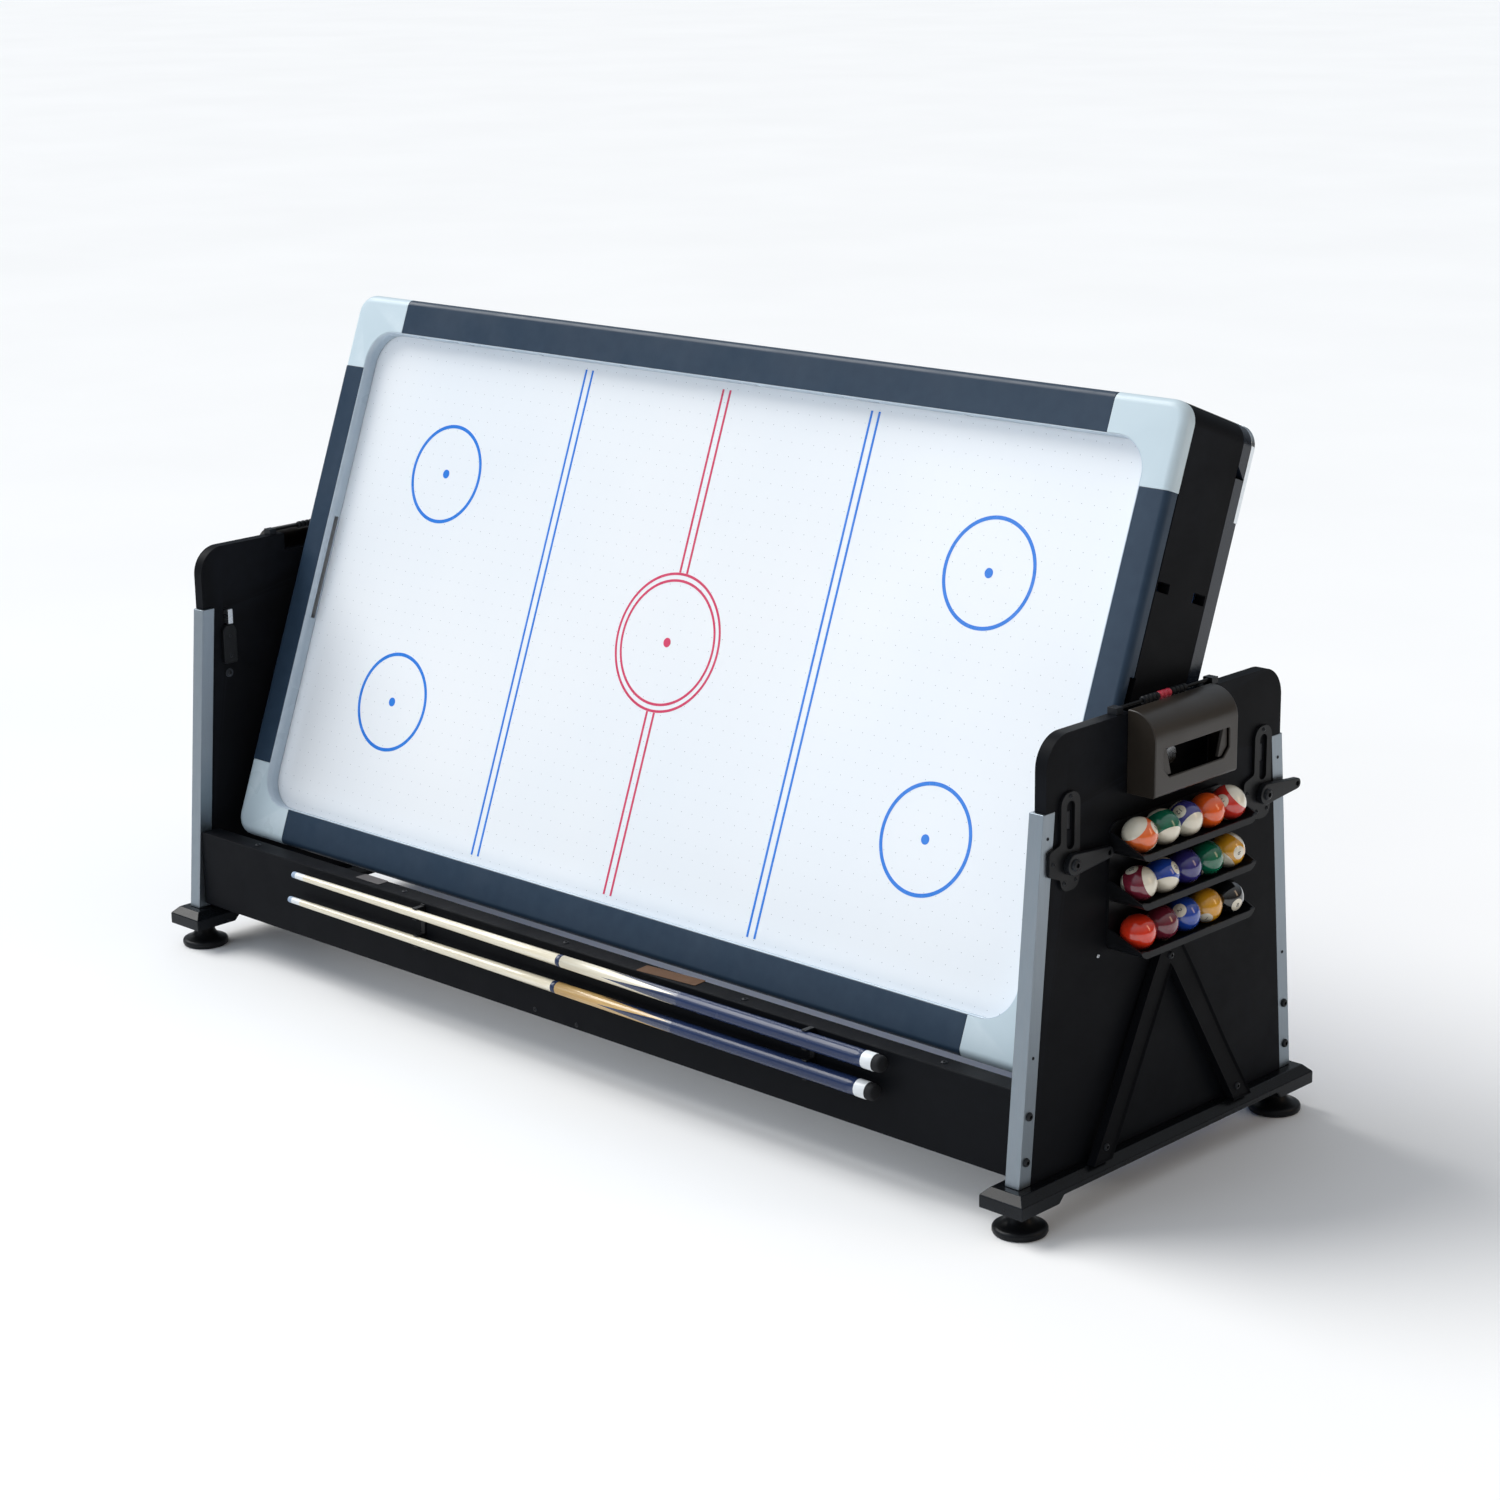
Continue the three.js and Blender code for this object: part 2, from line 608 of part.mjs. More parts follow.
// cushion and rail top in one section; a = distance from the middle of the deck
function poolRailSection(nose, outer) {
  const inside = outer - APRON_T - 0.5;
  const skin = POOL_TOP + POOL_SKIN;
  return outline([
    [outer, POOL_TOP], [nose + 16, POOL_TOP], [nose, POOL_TOP + 4], [nose + 3, POOL_TOP + 11],
    [nose + 28, POOL_FLOOR - GAP], [inside, POOL_FLOOR - GAP], [inside, skin], [outer, skin],
  ]);
}

function poolRailLong(name, face) {
  const inside = DECK_U - APRON_T - 0.5;
  const ends = [-1, 1].map((s) => block([s * inside, s * (DECK_U + 5)], [POOL_IN_V - 5, DECK_V + 5],
    [POOL_TOP + POOL_SKIN, 0]));
  const bar = prismX(poolRailSection(POOL_IN_V, DECK_V), [-DECK_U, DECK_U]);
  const throat = outline([[-34, 508], [-62, 440], [62, 440], [34, 508]]);
  const tools = [...pocketBores([-120, -20]), ...ends, prismZ(throat, [-120, -20])];
  for (const side of [-1, 1]) {
    const mouth = outline([[side * 934, 478], [side * 850, 440], [side * 880, 380],
      [side * 1010, 380], [side * 975, 448.7]]);
    tools.push(prismZ(mouth, [-120, -20]));
  }
  const rail = common(cut(bar, ...tools), deckPlan([POOL_TOP - 5, 0]));
  if (face < 0) rail.rotateZ(Math.PI);
  add(name, rail, RAIL_BLACK, playfield);
}

function poolRailEnd(name, side) {
  const v = POOL_IN_V - GAP;
  const bar = prismY(poolRailSection(POOL_IN_U, DECK_U), [-v, v]);
  const tools = pocketBores([-120, -20]);
  for (const face of [-1, 1]) {
    const mouth = outline([[895, face * 400], [934, face * 430], [934, face * 460], [895, face * 460]]);
    tools.push(prismZ(mouth, [-120, -20]));
  }
  const rail = cut(bar, ...tools);
  if (side < 0) rail.rotateZ(Math.PI);
  add(name, rail, RAIL_BLACK, playfield);
}

// flange on the end apron and the shaft that turns in the end panel
function pivot(name, side) {
  const flange = DECK_U + GAP;
  const profile = [
    [0, flange], [38, flange], [38, flange + 7], [20, flange + 8], [PIVOT_R, flange + 9],
    [PIVOT_R, END_X + 5], [0, END_X + 5],
  ];
  const shaft = turned(profile, 32).rotateZ(-Math.PI / 2);
  if (side < 0) shaft.rotateZ(Math.PI);
  add(name, shaft, STEEL, playfield);
}

// blower under the middle of the hockey sheet: a drum open towards the sheet
function blower() {
  const top = HOCKEY_FLOOR - HOCKEY_SHEET_T - GAP;
  const drum = turned([
    [0, -10], [92, -10], [92, top], [60, top], [60, top - 3], [88, top - 3], [88, -6],
    [0, -6],
  ], 32).rotateX(Math.PI / 2);
  add('blower_housing', drum, BLACK, playfield);
  const wheel = turned([[0, 4], [80, 4], [80, 34], [72, 34], [72, 8], [0, 8]], 32)
    .rotateX(Math.PI / 2);
  add('blower_impeller', wheel, STEEL, playfield);
}

// ---------------------------------------------------------------- assembly
for (const [sideName, side] of SIDES) {
  endPanel(`${sideName}_end_panel`, side);
  footBar(`${sideName}_foot_bar`, side);
  brace(`${sideName}_brace`, side);
  puckBox(`${sideName}_puck_box`, side);
  scorerRail(`${sideName}_scorer_rail`, side);
  scorerBeads(`${sideName}_scorer_beads`, side);
  pivot(`${sideName}_pivot`, side);
  endApron(`${sideName}_end_apron`, side);
  hockeyRailEnd(`${sideName}_hockey_rail`, side);
  poolRailEnd(`${sideName}_pool_rail`, side);
  for (const [faceName, face] of FACES) {
    edgeProfile(`${sideName}_${faceName}_profile`, side, face);
    leveler(`${sideName}_${faceName}_leveler`, side, face);
    latchLever(`${sideName}_${faceName}_latch_lever`, side, face * LATCH_Y);
    latchBolt(`${sideName}_${faceName}_latch_bolt`, side, face * LATCH_Y);
    hockeyCap(`${sideName}_${faceName}_hockey_cap`, side, face);
  }
}
for (const [faceName, face] of FACES) {
  crossBeam(`${faceName}_beam`, face);
  longApron(`${faceName}_apron`, face);
  hockeyRailLong(`${faceName}_hockey_rail`, face);
  poolRailLong(`${faceName}_pool_rail`, face);
}
hockeySurface();
poolBed();
blower();
ballRack();
['top', 'middle', 'bottom'].forEach((row, i) => ballRow(`${row}_ball_row`, BALL_ROWS_Z[i]));
for (const [name, z, tipX] of CUES) cue(name, z, tipX);
CLIP_X.forEach((x, i) => cueClip(`${SIDES[i][0]}_cue_clip`, x));

export default table;
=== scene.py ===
import math

import bmesh
import bpy
from mathutils import Matrix, Vector


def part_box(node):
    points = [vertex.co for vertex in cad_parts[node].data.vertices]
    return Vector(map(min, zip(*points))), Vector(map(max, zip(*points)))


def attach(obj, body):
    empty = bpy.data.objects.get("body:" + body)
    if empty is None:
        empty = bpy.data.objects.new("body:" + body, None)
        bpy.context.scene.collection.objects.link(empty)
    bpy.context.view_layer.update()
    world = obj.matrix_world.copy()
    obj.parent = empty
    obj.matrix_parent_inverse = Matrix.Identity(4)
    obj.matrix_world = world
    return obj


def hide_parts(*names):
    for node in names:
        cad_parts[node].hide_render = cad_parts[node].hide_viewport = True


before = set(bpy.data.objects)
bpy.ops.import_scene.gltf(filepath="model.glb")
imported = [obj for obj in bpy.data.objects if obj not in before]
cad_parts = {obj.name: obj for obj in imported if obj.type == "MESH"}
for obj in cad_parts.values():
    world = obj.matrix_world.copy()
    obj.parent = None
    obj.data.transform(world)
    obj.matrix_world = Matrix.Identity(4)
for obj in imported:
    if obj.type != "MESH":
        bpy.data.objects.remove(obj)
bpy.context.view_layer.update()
scene = bpy.context.scene

SIDES = (("left", -1), ("right", 1))
FACES = (("front", -1), ("rear", 1))
CORNERS = [(f"{name}_{face_name}", side, face) for name, side in SIDES for face_name, face in FACES]

# -------------------- sizes, in metres
PIVOT_Z = 0.695
TILT = math.radians(69.2)
PANEL_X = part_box("right_end_panel")[1].x
PANEL_IN_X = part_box("right_end_panel")[0].x
DECK_U = 0.9935
DECK_V = 0.5375
APRON = 0.0185
HOCKEY_TOP = 0.093
HOCKEY_UNDER = 0.068
HOCKEY_FLOOR = 0.0645
HOCKEY_IN_U = 0.935
HOCKEY_IN_V = 0.470
INNER_R = 0.062
CAP = 0.144
GOAL_V = 0.101
GOAL_TOP = 0.078
POOL_TOP = -0.101
POOL_FLOOR = -0.061
POOL_NOSE_U = 0.905
POOL_NOSE_V = 0.449
CORNER_POCKET = (0.922, 0.466, 0.050)
SIDE_POCKET = (0.0, 0.470, 0.044)
BALL_R = 0.028575
BALL_X = 1.074
BALL_ROWS = ("top", "middle", "bottom")
LATCH_Y = 0.248
LEVER_Z = 0.577
BEAM_FACE_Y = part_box("front_beam")[0].y
BEAM_TOP_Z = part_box("front_beam")[1].z
CUES = ("upper", "lower")

UPRIGHT = Matrix.Identity(4)
DECK = Matrix.Translation((0, 0, PIVOT_Z)) @ Matrix.Rotation(TILT, 4, "X")
# how an outline (a, b) and a height h are laid: along x, y or z
ALONG_X = Matrix(((0, 0, 1, 0), (1, 0, 0, 0), (0, 1, 0, 0), (0, 0, 0, 1)))
ALONG_Y = Matrix(((1, 0, 0, 0), (0, 0, 1, 0), (0, 1, 0, 0), (0, 0, 0, 1)))
ALONG_Z = Matrix.Identity(4)


def placed(name, data, place=UPRIGHT):
    made = bpy.data.objects.new(name, data)
    scene.collection.objects.link(made)
    made.matrix_world = place
    return made


def add_node(tree, kind, inputs, **settings):
    """A shader node whose inputs are given as values or as the sockets that feed them."""
    made = tree.nodes.new(kind)
    for key, value in settings.items():
        setattr(made, key, value)
    for key, value in inputs.items():
        if isinstance(value, bpy.types.NodeSocket):
            tree.links.new(value, made.inputs[key])
        else:
            made.inputs[key].default_value = value
    return made


# -------------------- camera and light
def make_camera():
    data = bpy.data.cameras.new("camera")
    data.sensor_width = 36
    data.lens = 78.34
    data.shift_x = 0.0128
    data.shift_y = -0.0057
    camera = placed("camera", data)
    camera.location = (3.9539, -3.9577, 2.0832)
    camera.rotation_euler = [math.radians(angle) for angle in (74.426, 0.918, 44.035)]
    scene.camera = camera


def linear(colour):
    """A colour written as #rrggbb, as linear RGBA."""
    parts = [int(colour[i:i + 2], 16) / 255 for i in (1, 3, 5)]
    return [p / 12.92 if p <= 0.04045 else ((p + 0.055) / 1.055) ** 2.4 for p in parts] + [1.0]


def area_light(name, location, target, size, power, colour):
    data = bpy.data.lights.new(name, "AREA")
    data.shape = "RECTANGLE"
    data.size, data.size_y = size
    data.energy = power
    data.color = linear(colour)[:3]
    light = placed(name, data)
    light.location = location
    light.rotation_euler = (Vector(location) - Vector(target)).to_track_quat("Z", "Y").to_euler()


def make_world():
    """The camera sees white; the room is dim low down, brighter above and warm at the right."""
    world = bpy.data.worlds.new("studio")
    world.use_nodes = True
    scene.world = world
    tree = world.node_tree
    tree.nodes.clear()
    direction = add_node(tree, "ShaderNodeTexCoord", {}).outputs["Generated"]
    axes = add_node(tree, "ShaderNodeSeparateXYZ", {0: direction}).outputs

    def blend(axis, start, end, first, second):
        inputs = {"Value": axes[axis], "From Min": start, "From Max": end}
        share = add_node(tree, "ShaderNodeMapRange", inputs).outputs["Result"]
        return add_node(tree, "ShaderNodeMix", {0: share, 6: first, 7: second}, data_type="RGBA").outputs[2]

    left = blend("Z", 0.10, 0.60, (0.11, 0.135, 0.16, 1), (0.54, 0.59, 0.65, 1))
    right = blend("Z", 0.10, 0.70, (0.10, 0.08, 0.06, 1), (0.50, 0.50, 0.50, 1))
    room = add_node(tree, "ShaderNodeBackground", {"Color": blend("X", 0.0, 0.75, left, right)})
    white = add_node(tree, "ShaderNodeBackground", {"Color": (1, 1, 1, 1)})
    seen = add_node(tree, "ShaderNodeLightPath", {}).outputs["Is Camera Ray"]
    either = add_node(tree, "ShaderNodeMixShader", {0: seen, 1: room.outputs[0], 2: white.outputs[0]})
    add_node(tree, "ShaderNodeOutputWorld", {"Surface": either.outputs[0]})


def make_lights():
    make_world()
    scene.view_settings.view_transform = "Standard"
    sun = bpy.data.lights.new("ceiling", "SUN")
    sun.energy = 2.5
    sun.angle = math.radians(40)
    sun.color = (1.0, 0.985, 0.96)
    ceiling = placed("ceiling", sun)
    ceiling.rotation_euler = Vector((-0.64, -0.22, 0.74)).to_track_quat("Z", "Y").to_euler()
    area_light("front_softbox", (-1.6, -4.2, 2.6), (0, 0, 0.7), (3.2, 2.0), 38, "#e6f1ff")
    area_light("right_strip", (4.5, 1.8, 2.2), (1.0, 0, 0.7), (0.8, 2.2), 14, "#ffdcb4")


# -------------------- materials
class Finish:
    """A node material round one Principled shader, with patterns laid in the piece's own space."""

    def __init__(self, name, colour, roughness, metallic=0.0, specular=0.5):
        self.material = bpy.data.materials.new(name)
        self.material.use_nodes = True
        self.tree = self.material.node_tree
        self.shader = self.tree.nodes["Principled BSDF"]
        self.colour = linear(colour)
        self.set({"Base Color": self.colour, "Roughness": roughness, "Metallic": metallic,
                  "Specular IOR Level": specular})
        self.place = self.node("ShaderNodeTexCoord", {}).outputs["Object"]

    def node(self, kind, inputs, **settings):
        return add_node(self.tree, kind, inputs, **settings)

    def set(self, values):
        for key, value in values.items():
            self.shader.inputs[key].default_value = value

    def feed(self, key, socket):
        self.tree.links.new(socket, self.shader.inputs[key])
        return socket

    def math(self, operation, *values):
        return self.node("ShaderNodeMath", dict(enumerate(values)), operation=operation).outputs[0]

    def split(self):
        return self.node("ShaderNodeSeparateXYZ", {0: self.place}).outputs

    def noise(self, scale, detail=3.0, stretch=(1, 1, 1)):
        place = self.node("ShaderNodeMapping", {"Vector": self.place, "Scale": stretch}).outputs[0]
        return self.node("ShaderNodeTexNoise", {"Vector": place, "Scale": scale, "Detail": detail}).outputs[0]

    def span(self, value, low, high, start=0.3, end=0.7):
        inputs = {"Value": value, "From Min": start, "From Max": end, "To Min": low, "To Max": high}
        return self.node("ShaderNodeMapRange", inputs).outputs[0]

    def mix(self, factor, first, second):
        return self.node("ShaderNodeMix", {0: factor, 6: first, 7: second}, data_type="RGBA").outputs[2]

    def base(self, socket):
        return self.feed("Base Color", socket)

    def mottle(self, other, amount, scale, stretch=(1, 1, 1), detail=3.0):
        """The base colour drifts towards another one in soft patches."""
        patches = self.span(self.noise(scale, detail, stretch), 0, amount)
        return self.base(self.mix(patches, self.colour, linear(other)))

    def rough(self, low, high, scale, stretch=(1, 1, 1)):
        self.feed("Roughness", self.span(self.noise(scale, 4, stretch), low, high))

    def bump(self, height, strength, distance):
        made = self.node("ShaderNodeBump", {"Strength": strength, "Distance": distance, "Height": height})
        self.feed("Normal", made.outputs[0])

    def edges(self, under, worn, amount):
        """Convex edges rub to a lighter colour."""
        point = self.node("ShaderNodeNewGeometry", {}).outputs["Pointiness"]
        rubbed = self.math("MULTIPLY", self.span(point, 0, 1, 0.52, 0.60), self.noise(45, 4))
        return self.base(self.mix(self.math("MULTIPLY", rubbed, amount), under, linear(worn)))


def painted(name, colour, other, roughness, specular, worn, peel=650, depth=0.00006, rub=0.8):
    """Paint, laminate or moulded plastic: soft patches, fine orange peel, rubbed edges."""
    finish = Finish(name, colour, roughness, specular=specular)
    under = finish.mottle(other, 0.8, 3.5)
    finish.edges(under, worn, rub)
    finish.rough(roughness - 0.06, roughness + 0.07, 14)
    finish.bump(finish.noise(peel, 2), 0.35, depth)
    return finish.material


def metal(name, colour, roughness, brushed, other="#8b9096"):
    """Metal drawn or brushed along one direction."""
    finish = Finish(name, colour, roughness, metallic=1.0)
    finish.mottle(other, 0.35, 260, brushed)
    finish.rough(roughness - 0.05, roughness + 0.10, 420, brushed)
    finish.bump(finish.noise(900, 3, brushed), 0.12, 0.00004)
    return finish.material


def hockey_sheet_finish():
    """Gloss white sheet, with a grid of fine air holes painted on as grey-blue dots of shade."""
    finish = Finish("hockey_sheet", "#f0f2f4", 0.16, specular=0.40)
    under = finish.mottle("#e8edf2", 0.9, 1.4)
    pitch, hole = 0.0254, 0.0006
    cells = []
    for axis in finish.split()[:2]:
        cells.append(finish.math("POWER", finish.math("PINGPONG", axis, pitch / 2), 2.0))
    near = finish.math("SQRT", finish.math("ADD", *cells))
    # each air hole is painted shade, a grey-blue dot; no hole is cut in the sheet
    painted_hole_shade = finish.span(near, 1, 0, hole * 0.8, hole * 1.2)
    finish.base(finish.mix(painted_hole_shade, under, linear("#59636e")))
    finish.rough(0.10, 0.22, 2.5)
    finish.bump(finish.noise(90, 2), 0.05, 0.0001)
    return finish.material


def cloth_finish():
    """Woven wool cloth, laid tight, with a faint nap."""
    finish = Finish("pool_cloth", "#1c5aa6", 0.95, specular=0.15)
    under = finish.mottle("#174c90", 0.8, 9)
    fleck = finish.span(finish.noise(2600, 2), 0, 0.5)
    finish.base(finish.mix(fleck, under, linear("#3a78c4")))
    finish.set({"Sheen Weight": 0.35, "Sheen Roughness": 0.5})
    pitch = 0.0011
    threads = []
    for axis in finish.split()[:2]:
        threads.append(finish.math("SINE", finish.math("MULTIPLY", axis, 2 * math.pi / pitch)))
    finish.bump(finish.math("MULTIPLY", *threads), 0.4, 0.00015)
    return finish.material


def maple_finish(name, colour, other):
    """Straight-grained maple under clear lacquer, grain along x."""
    finish = Finish(name, colour, 0.28, specular=0.5)
    grain = (0.04, 1, 1)
    under = finish.mottle(other, 0.9, 240, grain)
    streak = finish.span(finish.noise(900, 4, grain), 0, 0.35, 0.5, 0.75)
    finish.base(finish.mix(streak, under, linear("#c9b48a")))
    finish.set({"Coat Weight": 0.6, "Coat Roughness": 0.08})
    finish.bump(finish.noise(700, 3, grain), 0.1, 0.00003)
    return finish.material


def splice_finish(name, colour, grain, start, end):
    """Maple running out in four long points into the navy butt, between two distances."""
    finish = Finish(name, colour, 0.25)
    wood = finish.mottle(grain, 0.9, 240, (0.04, 1, 1))
    x, y, z = finish.split()
    turn = finish.math("ARCTAN2", y, z)
    tooth = finish.math("DIVIDE", finish.math("PINGPONG", turn, math.pi / 4), math.pi / 4)
    reach = finish.math("ADD", start, finish.math("MULTIPLY", tooth, end - start))
    dark = finish.math("GREATER_THAN", x, reach)
    finish.base(finish.mix(dark, wood, linear("#1b2a4c")))
    finish.set({"Coat Weight": 0.5, "Coat Roughness": 0.06})
    return finish.material


def ball_finish(number, colour, striped, spot_way, pole_way):
    """Phenolic ball: colour all over or as a belt, with a white spot at both ends of one axis."""
    finish = Finish(f"ball_{number}", colour, 0.12, specular=0.55)
    ivory = linear("#ece5d2")
    under = finish.mottle(colour, 1.0, 30)

    def along(way):
        inputs = {0: finish.place, 1: tuple(way)}
        dot = finish.node("ShaderNodeVectorMath", inputs, operation="DOT_PRODUCT").outputs["Value"]
        return finish.math("ABSOLUTE", dot)

    if striped:
        belt = finish.math("LESS_THAN", along(pole_way), BALL_R * 0.56)
        under = finish.mix(belt, ivory, under)
    spot = finish.math("GREATER_THAN", along(spot_way), BALL_R * 0.925)
    finish.base(finish.mix(spot, under, ivory))
    finish.rough(0.08, 0.18, 60)
    finish.set({"Coat Weight": 1.0, "Coat Roughness": 0.03})
    return finish.material


PANEL_BLACK = painted("panel_black", "#101114", "#131416", 0.46, 0.04, "#333a47", rub=0.12)
GLOSS_BLACK = painted("gloss_black", "#0a0b0d", "#0d0f11", 0.24, 0.18, "#313a46", peel=300, depth=0.00003)
BLACK_PLASTIC = painted("black_plastic", "#0f1012", "#141517", 0.36, 0.16, "#2a2e34",
                        peel=1500, depth=0.00012)
BOX_PLASTIC = painted("box_plastic", "#26211b", "#2c2620", 0.34, 0.45, "#3d3a36", peel=1300, depth=0.00012)
BLACK_METAL = painted("black_metal", "#0d0e10", "#121315", 0.34, 0.18, "#4a4f57", peel=900, depth=0.00005)
ALUMINIUM = metal("aluminium", "#88929a", 0.34, (1, 1, 0.02))
STEEL = metal("steel", "#c2c5c9", 0.26, (0.05, 1, 1))
CHROME = metal("chrome", "#dfe3e6", 0.09, (1, 1, 1), "#c4c9ce")
SLATE = painted("slate_rail", "#263749", "#243446", 0.34, 0.22, "#6c7f90", peel=1100, depth=0.00006, rub=0.2)
CAP_GREY = painted("cap_plastic", "#c6d6dd", "#bccdd6", 0.33, 0.40, "#d8e4ea", peel=900, depth=0.00006)
WALL_GREY = painted("wall_plastic", "#bccbd8", "#aabccb", 0.30, 0.5, "#d5dfe8", peel=900, depth=0.00004)
RAIL_BLACK = painted("pool_rail", "#111823", "#151c27", 0.22, 0.5, "#333d4c")
# the cheeks are the puck box's own dark plastic, painted a lighter tone as a highlight
CHEEK_HIGHLIT = painted("highlit_mouth_cheeks", "#34312e", "#2d2a27", 0.4, 0.3, "#56524d")
# colours of the two thin flat patches, brown and grey, lying on the front beam's top
BROWN_PATCH = painted("brown_patch", "#624630", "#533a28", 0.55, 0.2, "#7d6250")
GREY_PATCH = painted("grey_patch_paint", "#5b5655", "#474546", 0.4, 0.4, "#6d6a69")
RED = painted("red_plastic", "#d02b45", "#b82338", 0.3, 0.5, "#e05a6d")
BLUE_INK = painted("blue_ink", "#1470d2", "#1e7ad8", 0.25, 0.45, "#3f86e4")
RED_INK = painted("red_ink", "#d2345c", "#c62c52", 0.25, 0.45, "#da5577")
PEARL = painted("pearl_sights", "#e6e6df", "#d3d8da", 0.2, 0.5, "#f0f0ec")
NUMBER_INK = painted("number_ink", "#101010", "#181818", 0.3, 0.5, "#202020")
WHITE_RESIN = painted("white_resin", "#e2e6e8", "#d3d7da", 0.22, 0.5, "#eef0f1")
LEATHER = painted("tip_leather", "#9fb0c4", "#8598b0", 0.7, 0.2, "#b4c1cf")
RUBBER = painted("rubber", "#1a1b1d", "#222325", 0.7, 0.25, "#303134")
NAVY = painted("navy_lacquer", "#1a2848", "#22335a", 0.24, 0.35, "#2a3657", peel=200, depth=0.00002)
SHEET = hockey_sheet_finish()
CLOTH = cloth_finish()
MAPLE = maple_finish("maple_shaft", "#e6dfcb", "#dcd2b8")


# -------------------- mesh helpers
def filleted(corners, steps=6):
    """A closed outline from corners (a, b, radius), each rounded to its radius."""
    points = []
    for i, (a, b, radius) in enumerate(corners):
        corner = Vector((a, b))
        if not radius:
            points.append(corner)
            continue
        back = (Vector(corners[i - 1][:2]) - corner).normalized()
        on = (Vector(corners[(i + 1) % len(corners)][:2]) - corner).normalized()
        half = back.angle(on) / 2
        centre = corner + (back + on).normalized() * (radius / math.sin(half))
        start = corner + back * (radius / math.tan(half)) - centre
        end = corner + on * (radius / math.tan(half)) - centre
        turn = math.atan2(start.cross(end), start.dot(end))
        for k in range(steps + 1):
            points.append(centre + Matrix.Rotation(turn * k / steps, 2) @ start)
    return points


def rectangle(a0, a1, b0, b1, radius=0.0, steps=6):
    return filleted([(a0, b0, radius), (a1, b0, radius), (a1, b1, radius), (a0, b1, radius)], steps)


def circle(a, b, radius, steps, start=0.0, sweep=2 * math.pi):
    count = steps if sweep == 2 * math.pi else steps + 1
    return [Vector((a + radius * math.cos(start + sweep * k / steps),
                    b + radius * math.sin(start + sweep * k / steps))) for k in range(count)]


def skin(bm, one, two):
    """Faces between two closed rings of vertices."""
    for i in range(len(one)):
        j = (i + 1) % len(one)
        bm.faces.new((one[i], one[j], two[j], two[i]))


def prism(bm, outline, low, high, along=ALONG_Z):
    """A closed solid of an outline between two heights."""
    rings = [[bm.verts.new(along @ Vector((a, b, h))) for a, b in outline] for h in (low, high)]
    bm.faces.new(rings[0])
    bm.faces.new(rings[1])
    skin(bm, *rings)


def turned(bm, profile, place, segments=32, material=None):
    """A closed turned solid: profile is (radius, height), from the axis back to the axis or to itself.

    Material gives the slot of each stretch of the profile.
    """
    rings = []
    for radius, height in profile:
        if radius < 1e-7:
            rings.append([bm.verts.new(place @ Vector((0, 0, height)))])
            continue
        ring = circle(0, 0, radius, segments)
        rings.append([bm.verts.new(place @ Vector((x, y, height))) for x, y in ring])
    closed = len(rings[0]) > 1 and len(rings[-1]) > 1
    pairs = list(zip(rings, rings[1:])) + ([(rings[-1], rings[0])] if closed else [])
    for number, (one, two) in enumerate(pairs):
        for k in range(segments):
            j = (k + 1) % segments
            corners = [one[k % len(one)], one[j % len(one)], two[j % len(two)], two[k % len(two)]]
            face = bm.faces.new(list(dict.fromkeys(corners)))
            if material:
                face.material_index = material(number)


def disc(bm, radius, low, high, place, segments=32):
    turned(bm, [(0, low), (radius, low), (radius, high), (0, high)], place, segments)


def annulus(bm, centre, inner, outer, low, high, steps=96):
    """A flat ring as a closed solid."""
    columns = []
    for near, far in zip(circle(*centre, inner, steps), circle(*centre, outer, steps)):
        corners = ((near, low), (far, low), (far, high), (near, high))
        columns.append([bm.verts.new((*point, h)) for point, h in corners])
    for k, column in enumerate(columns):
        skin(bm, column, columns[(k + 1) % steps])


def round_edges(made, width, segments):
    rounding = made.modifiers.new("rounded_edges", "BEVEL")
    rounding.width = width
    rounding.segments = segments
    rounding.limit_method = "ANGLE"
    rounding.harden_normals = True
    return rounding


def thicken(made, thickness, offset):
    depth = made.modifiers.new("thickness", "SOLIDIFY")
    depth.thickness = thickness
    depth.offset = offset


def shade(mesh, sharp):
    mesh.polygons.foreach_set("use_smooth", [True] * len(mesh.polygons))
    mesh.set_sharp_from_angle(angle=math.radians(sharp))


def mesh_object(name, bm, materials=(), place=UPRIGHT):
    bmesh.ops.recalc_face_normals(bm, faces=bm.faces)
    mesh = bpy.data.meshes.new(name)
    bm.to_mesh(mesh)
    bm.free()
    for material in materials:
        mesh.materials.append(material)
    return placed(name, mesh, place)


def bisect(bm, point, normal):
    """Splits the faces along a plane and returns the geometry on it."""
    everything = bm.verts[:] + bm.edges[:] + bm.faces[:]
    return bmesh.ops.bisect_plane(bm, geom=everything, dist=1e-6, plane_co=point, plane_no=normal)["geom_cut"]


def piece(name, bm, body, materials, place=UPRIGHT, bevel=0.0, segments=2, stands_for=(), sharp=32):
    """Makes the mesh an object, rounds its edges and rides it on its body."""
    made = mesh_object(name, bm, materials if isinstance(materials, list) else [materials], place)
    shade(made.data, sharp)
    if bevel:
        round_edges(made, bevel, segments).angle_limit = math.radians(sharp)
        made.modifiers["rounded_edges"].miter_outer = "MITER_ARC"
    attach(made, body)
    if stands_for:
        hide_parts(*stands_for)
    return made


def solid_of(node, splits=()):
    """A clean copy of a CAD node's solid: welded, with its flat faces whole but for some planes.

    A plane is a point and a normal. Faces with holes are split through the holes.
    """
    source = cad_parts[node].data
    bm = bmesh.new()
    corners = [bm.verts.new(v.co) for v in source.vertices]
    for polygon in source.polygons:
        bm.faces.new([corners[i] for i in polygon.vertices])
    bmesh.ops.remove_doubles(bm, verts=bm.verts, dist=2e-6)
    for point, normal in splits:
        for part in bisect(bm, point, normal):
            if isinstance(part, bmesh.types.BMEdge):
                part.seam = True
    bmesh.ops.dissolve_limit(bm, angle_limit=math.radians(0.4), verts=bm.verts, edges=bm.edges,
                             delimit={"SEAM"})
    return bm


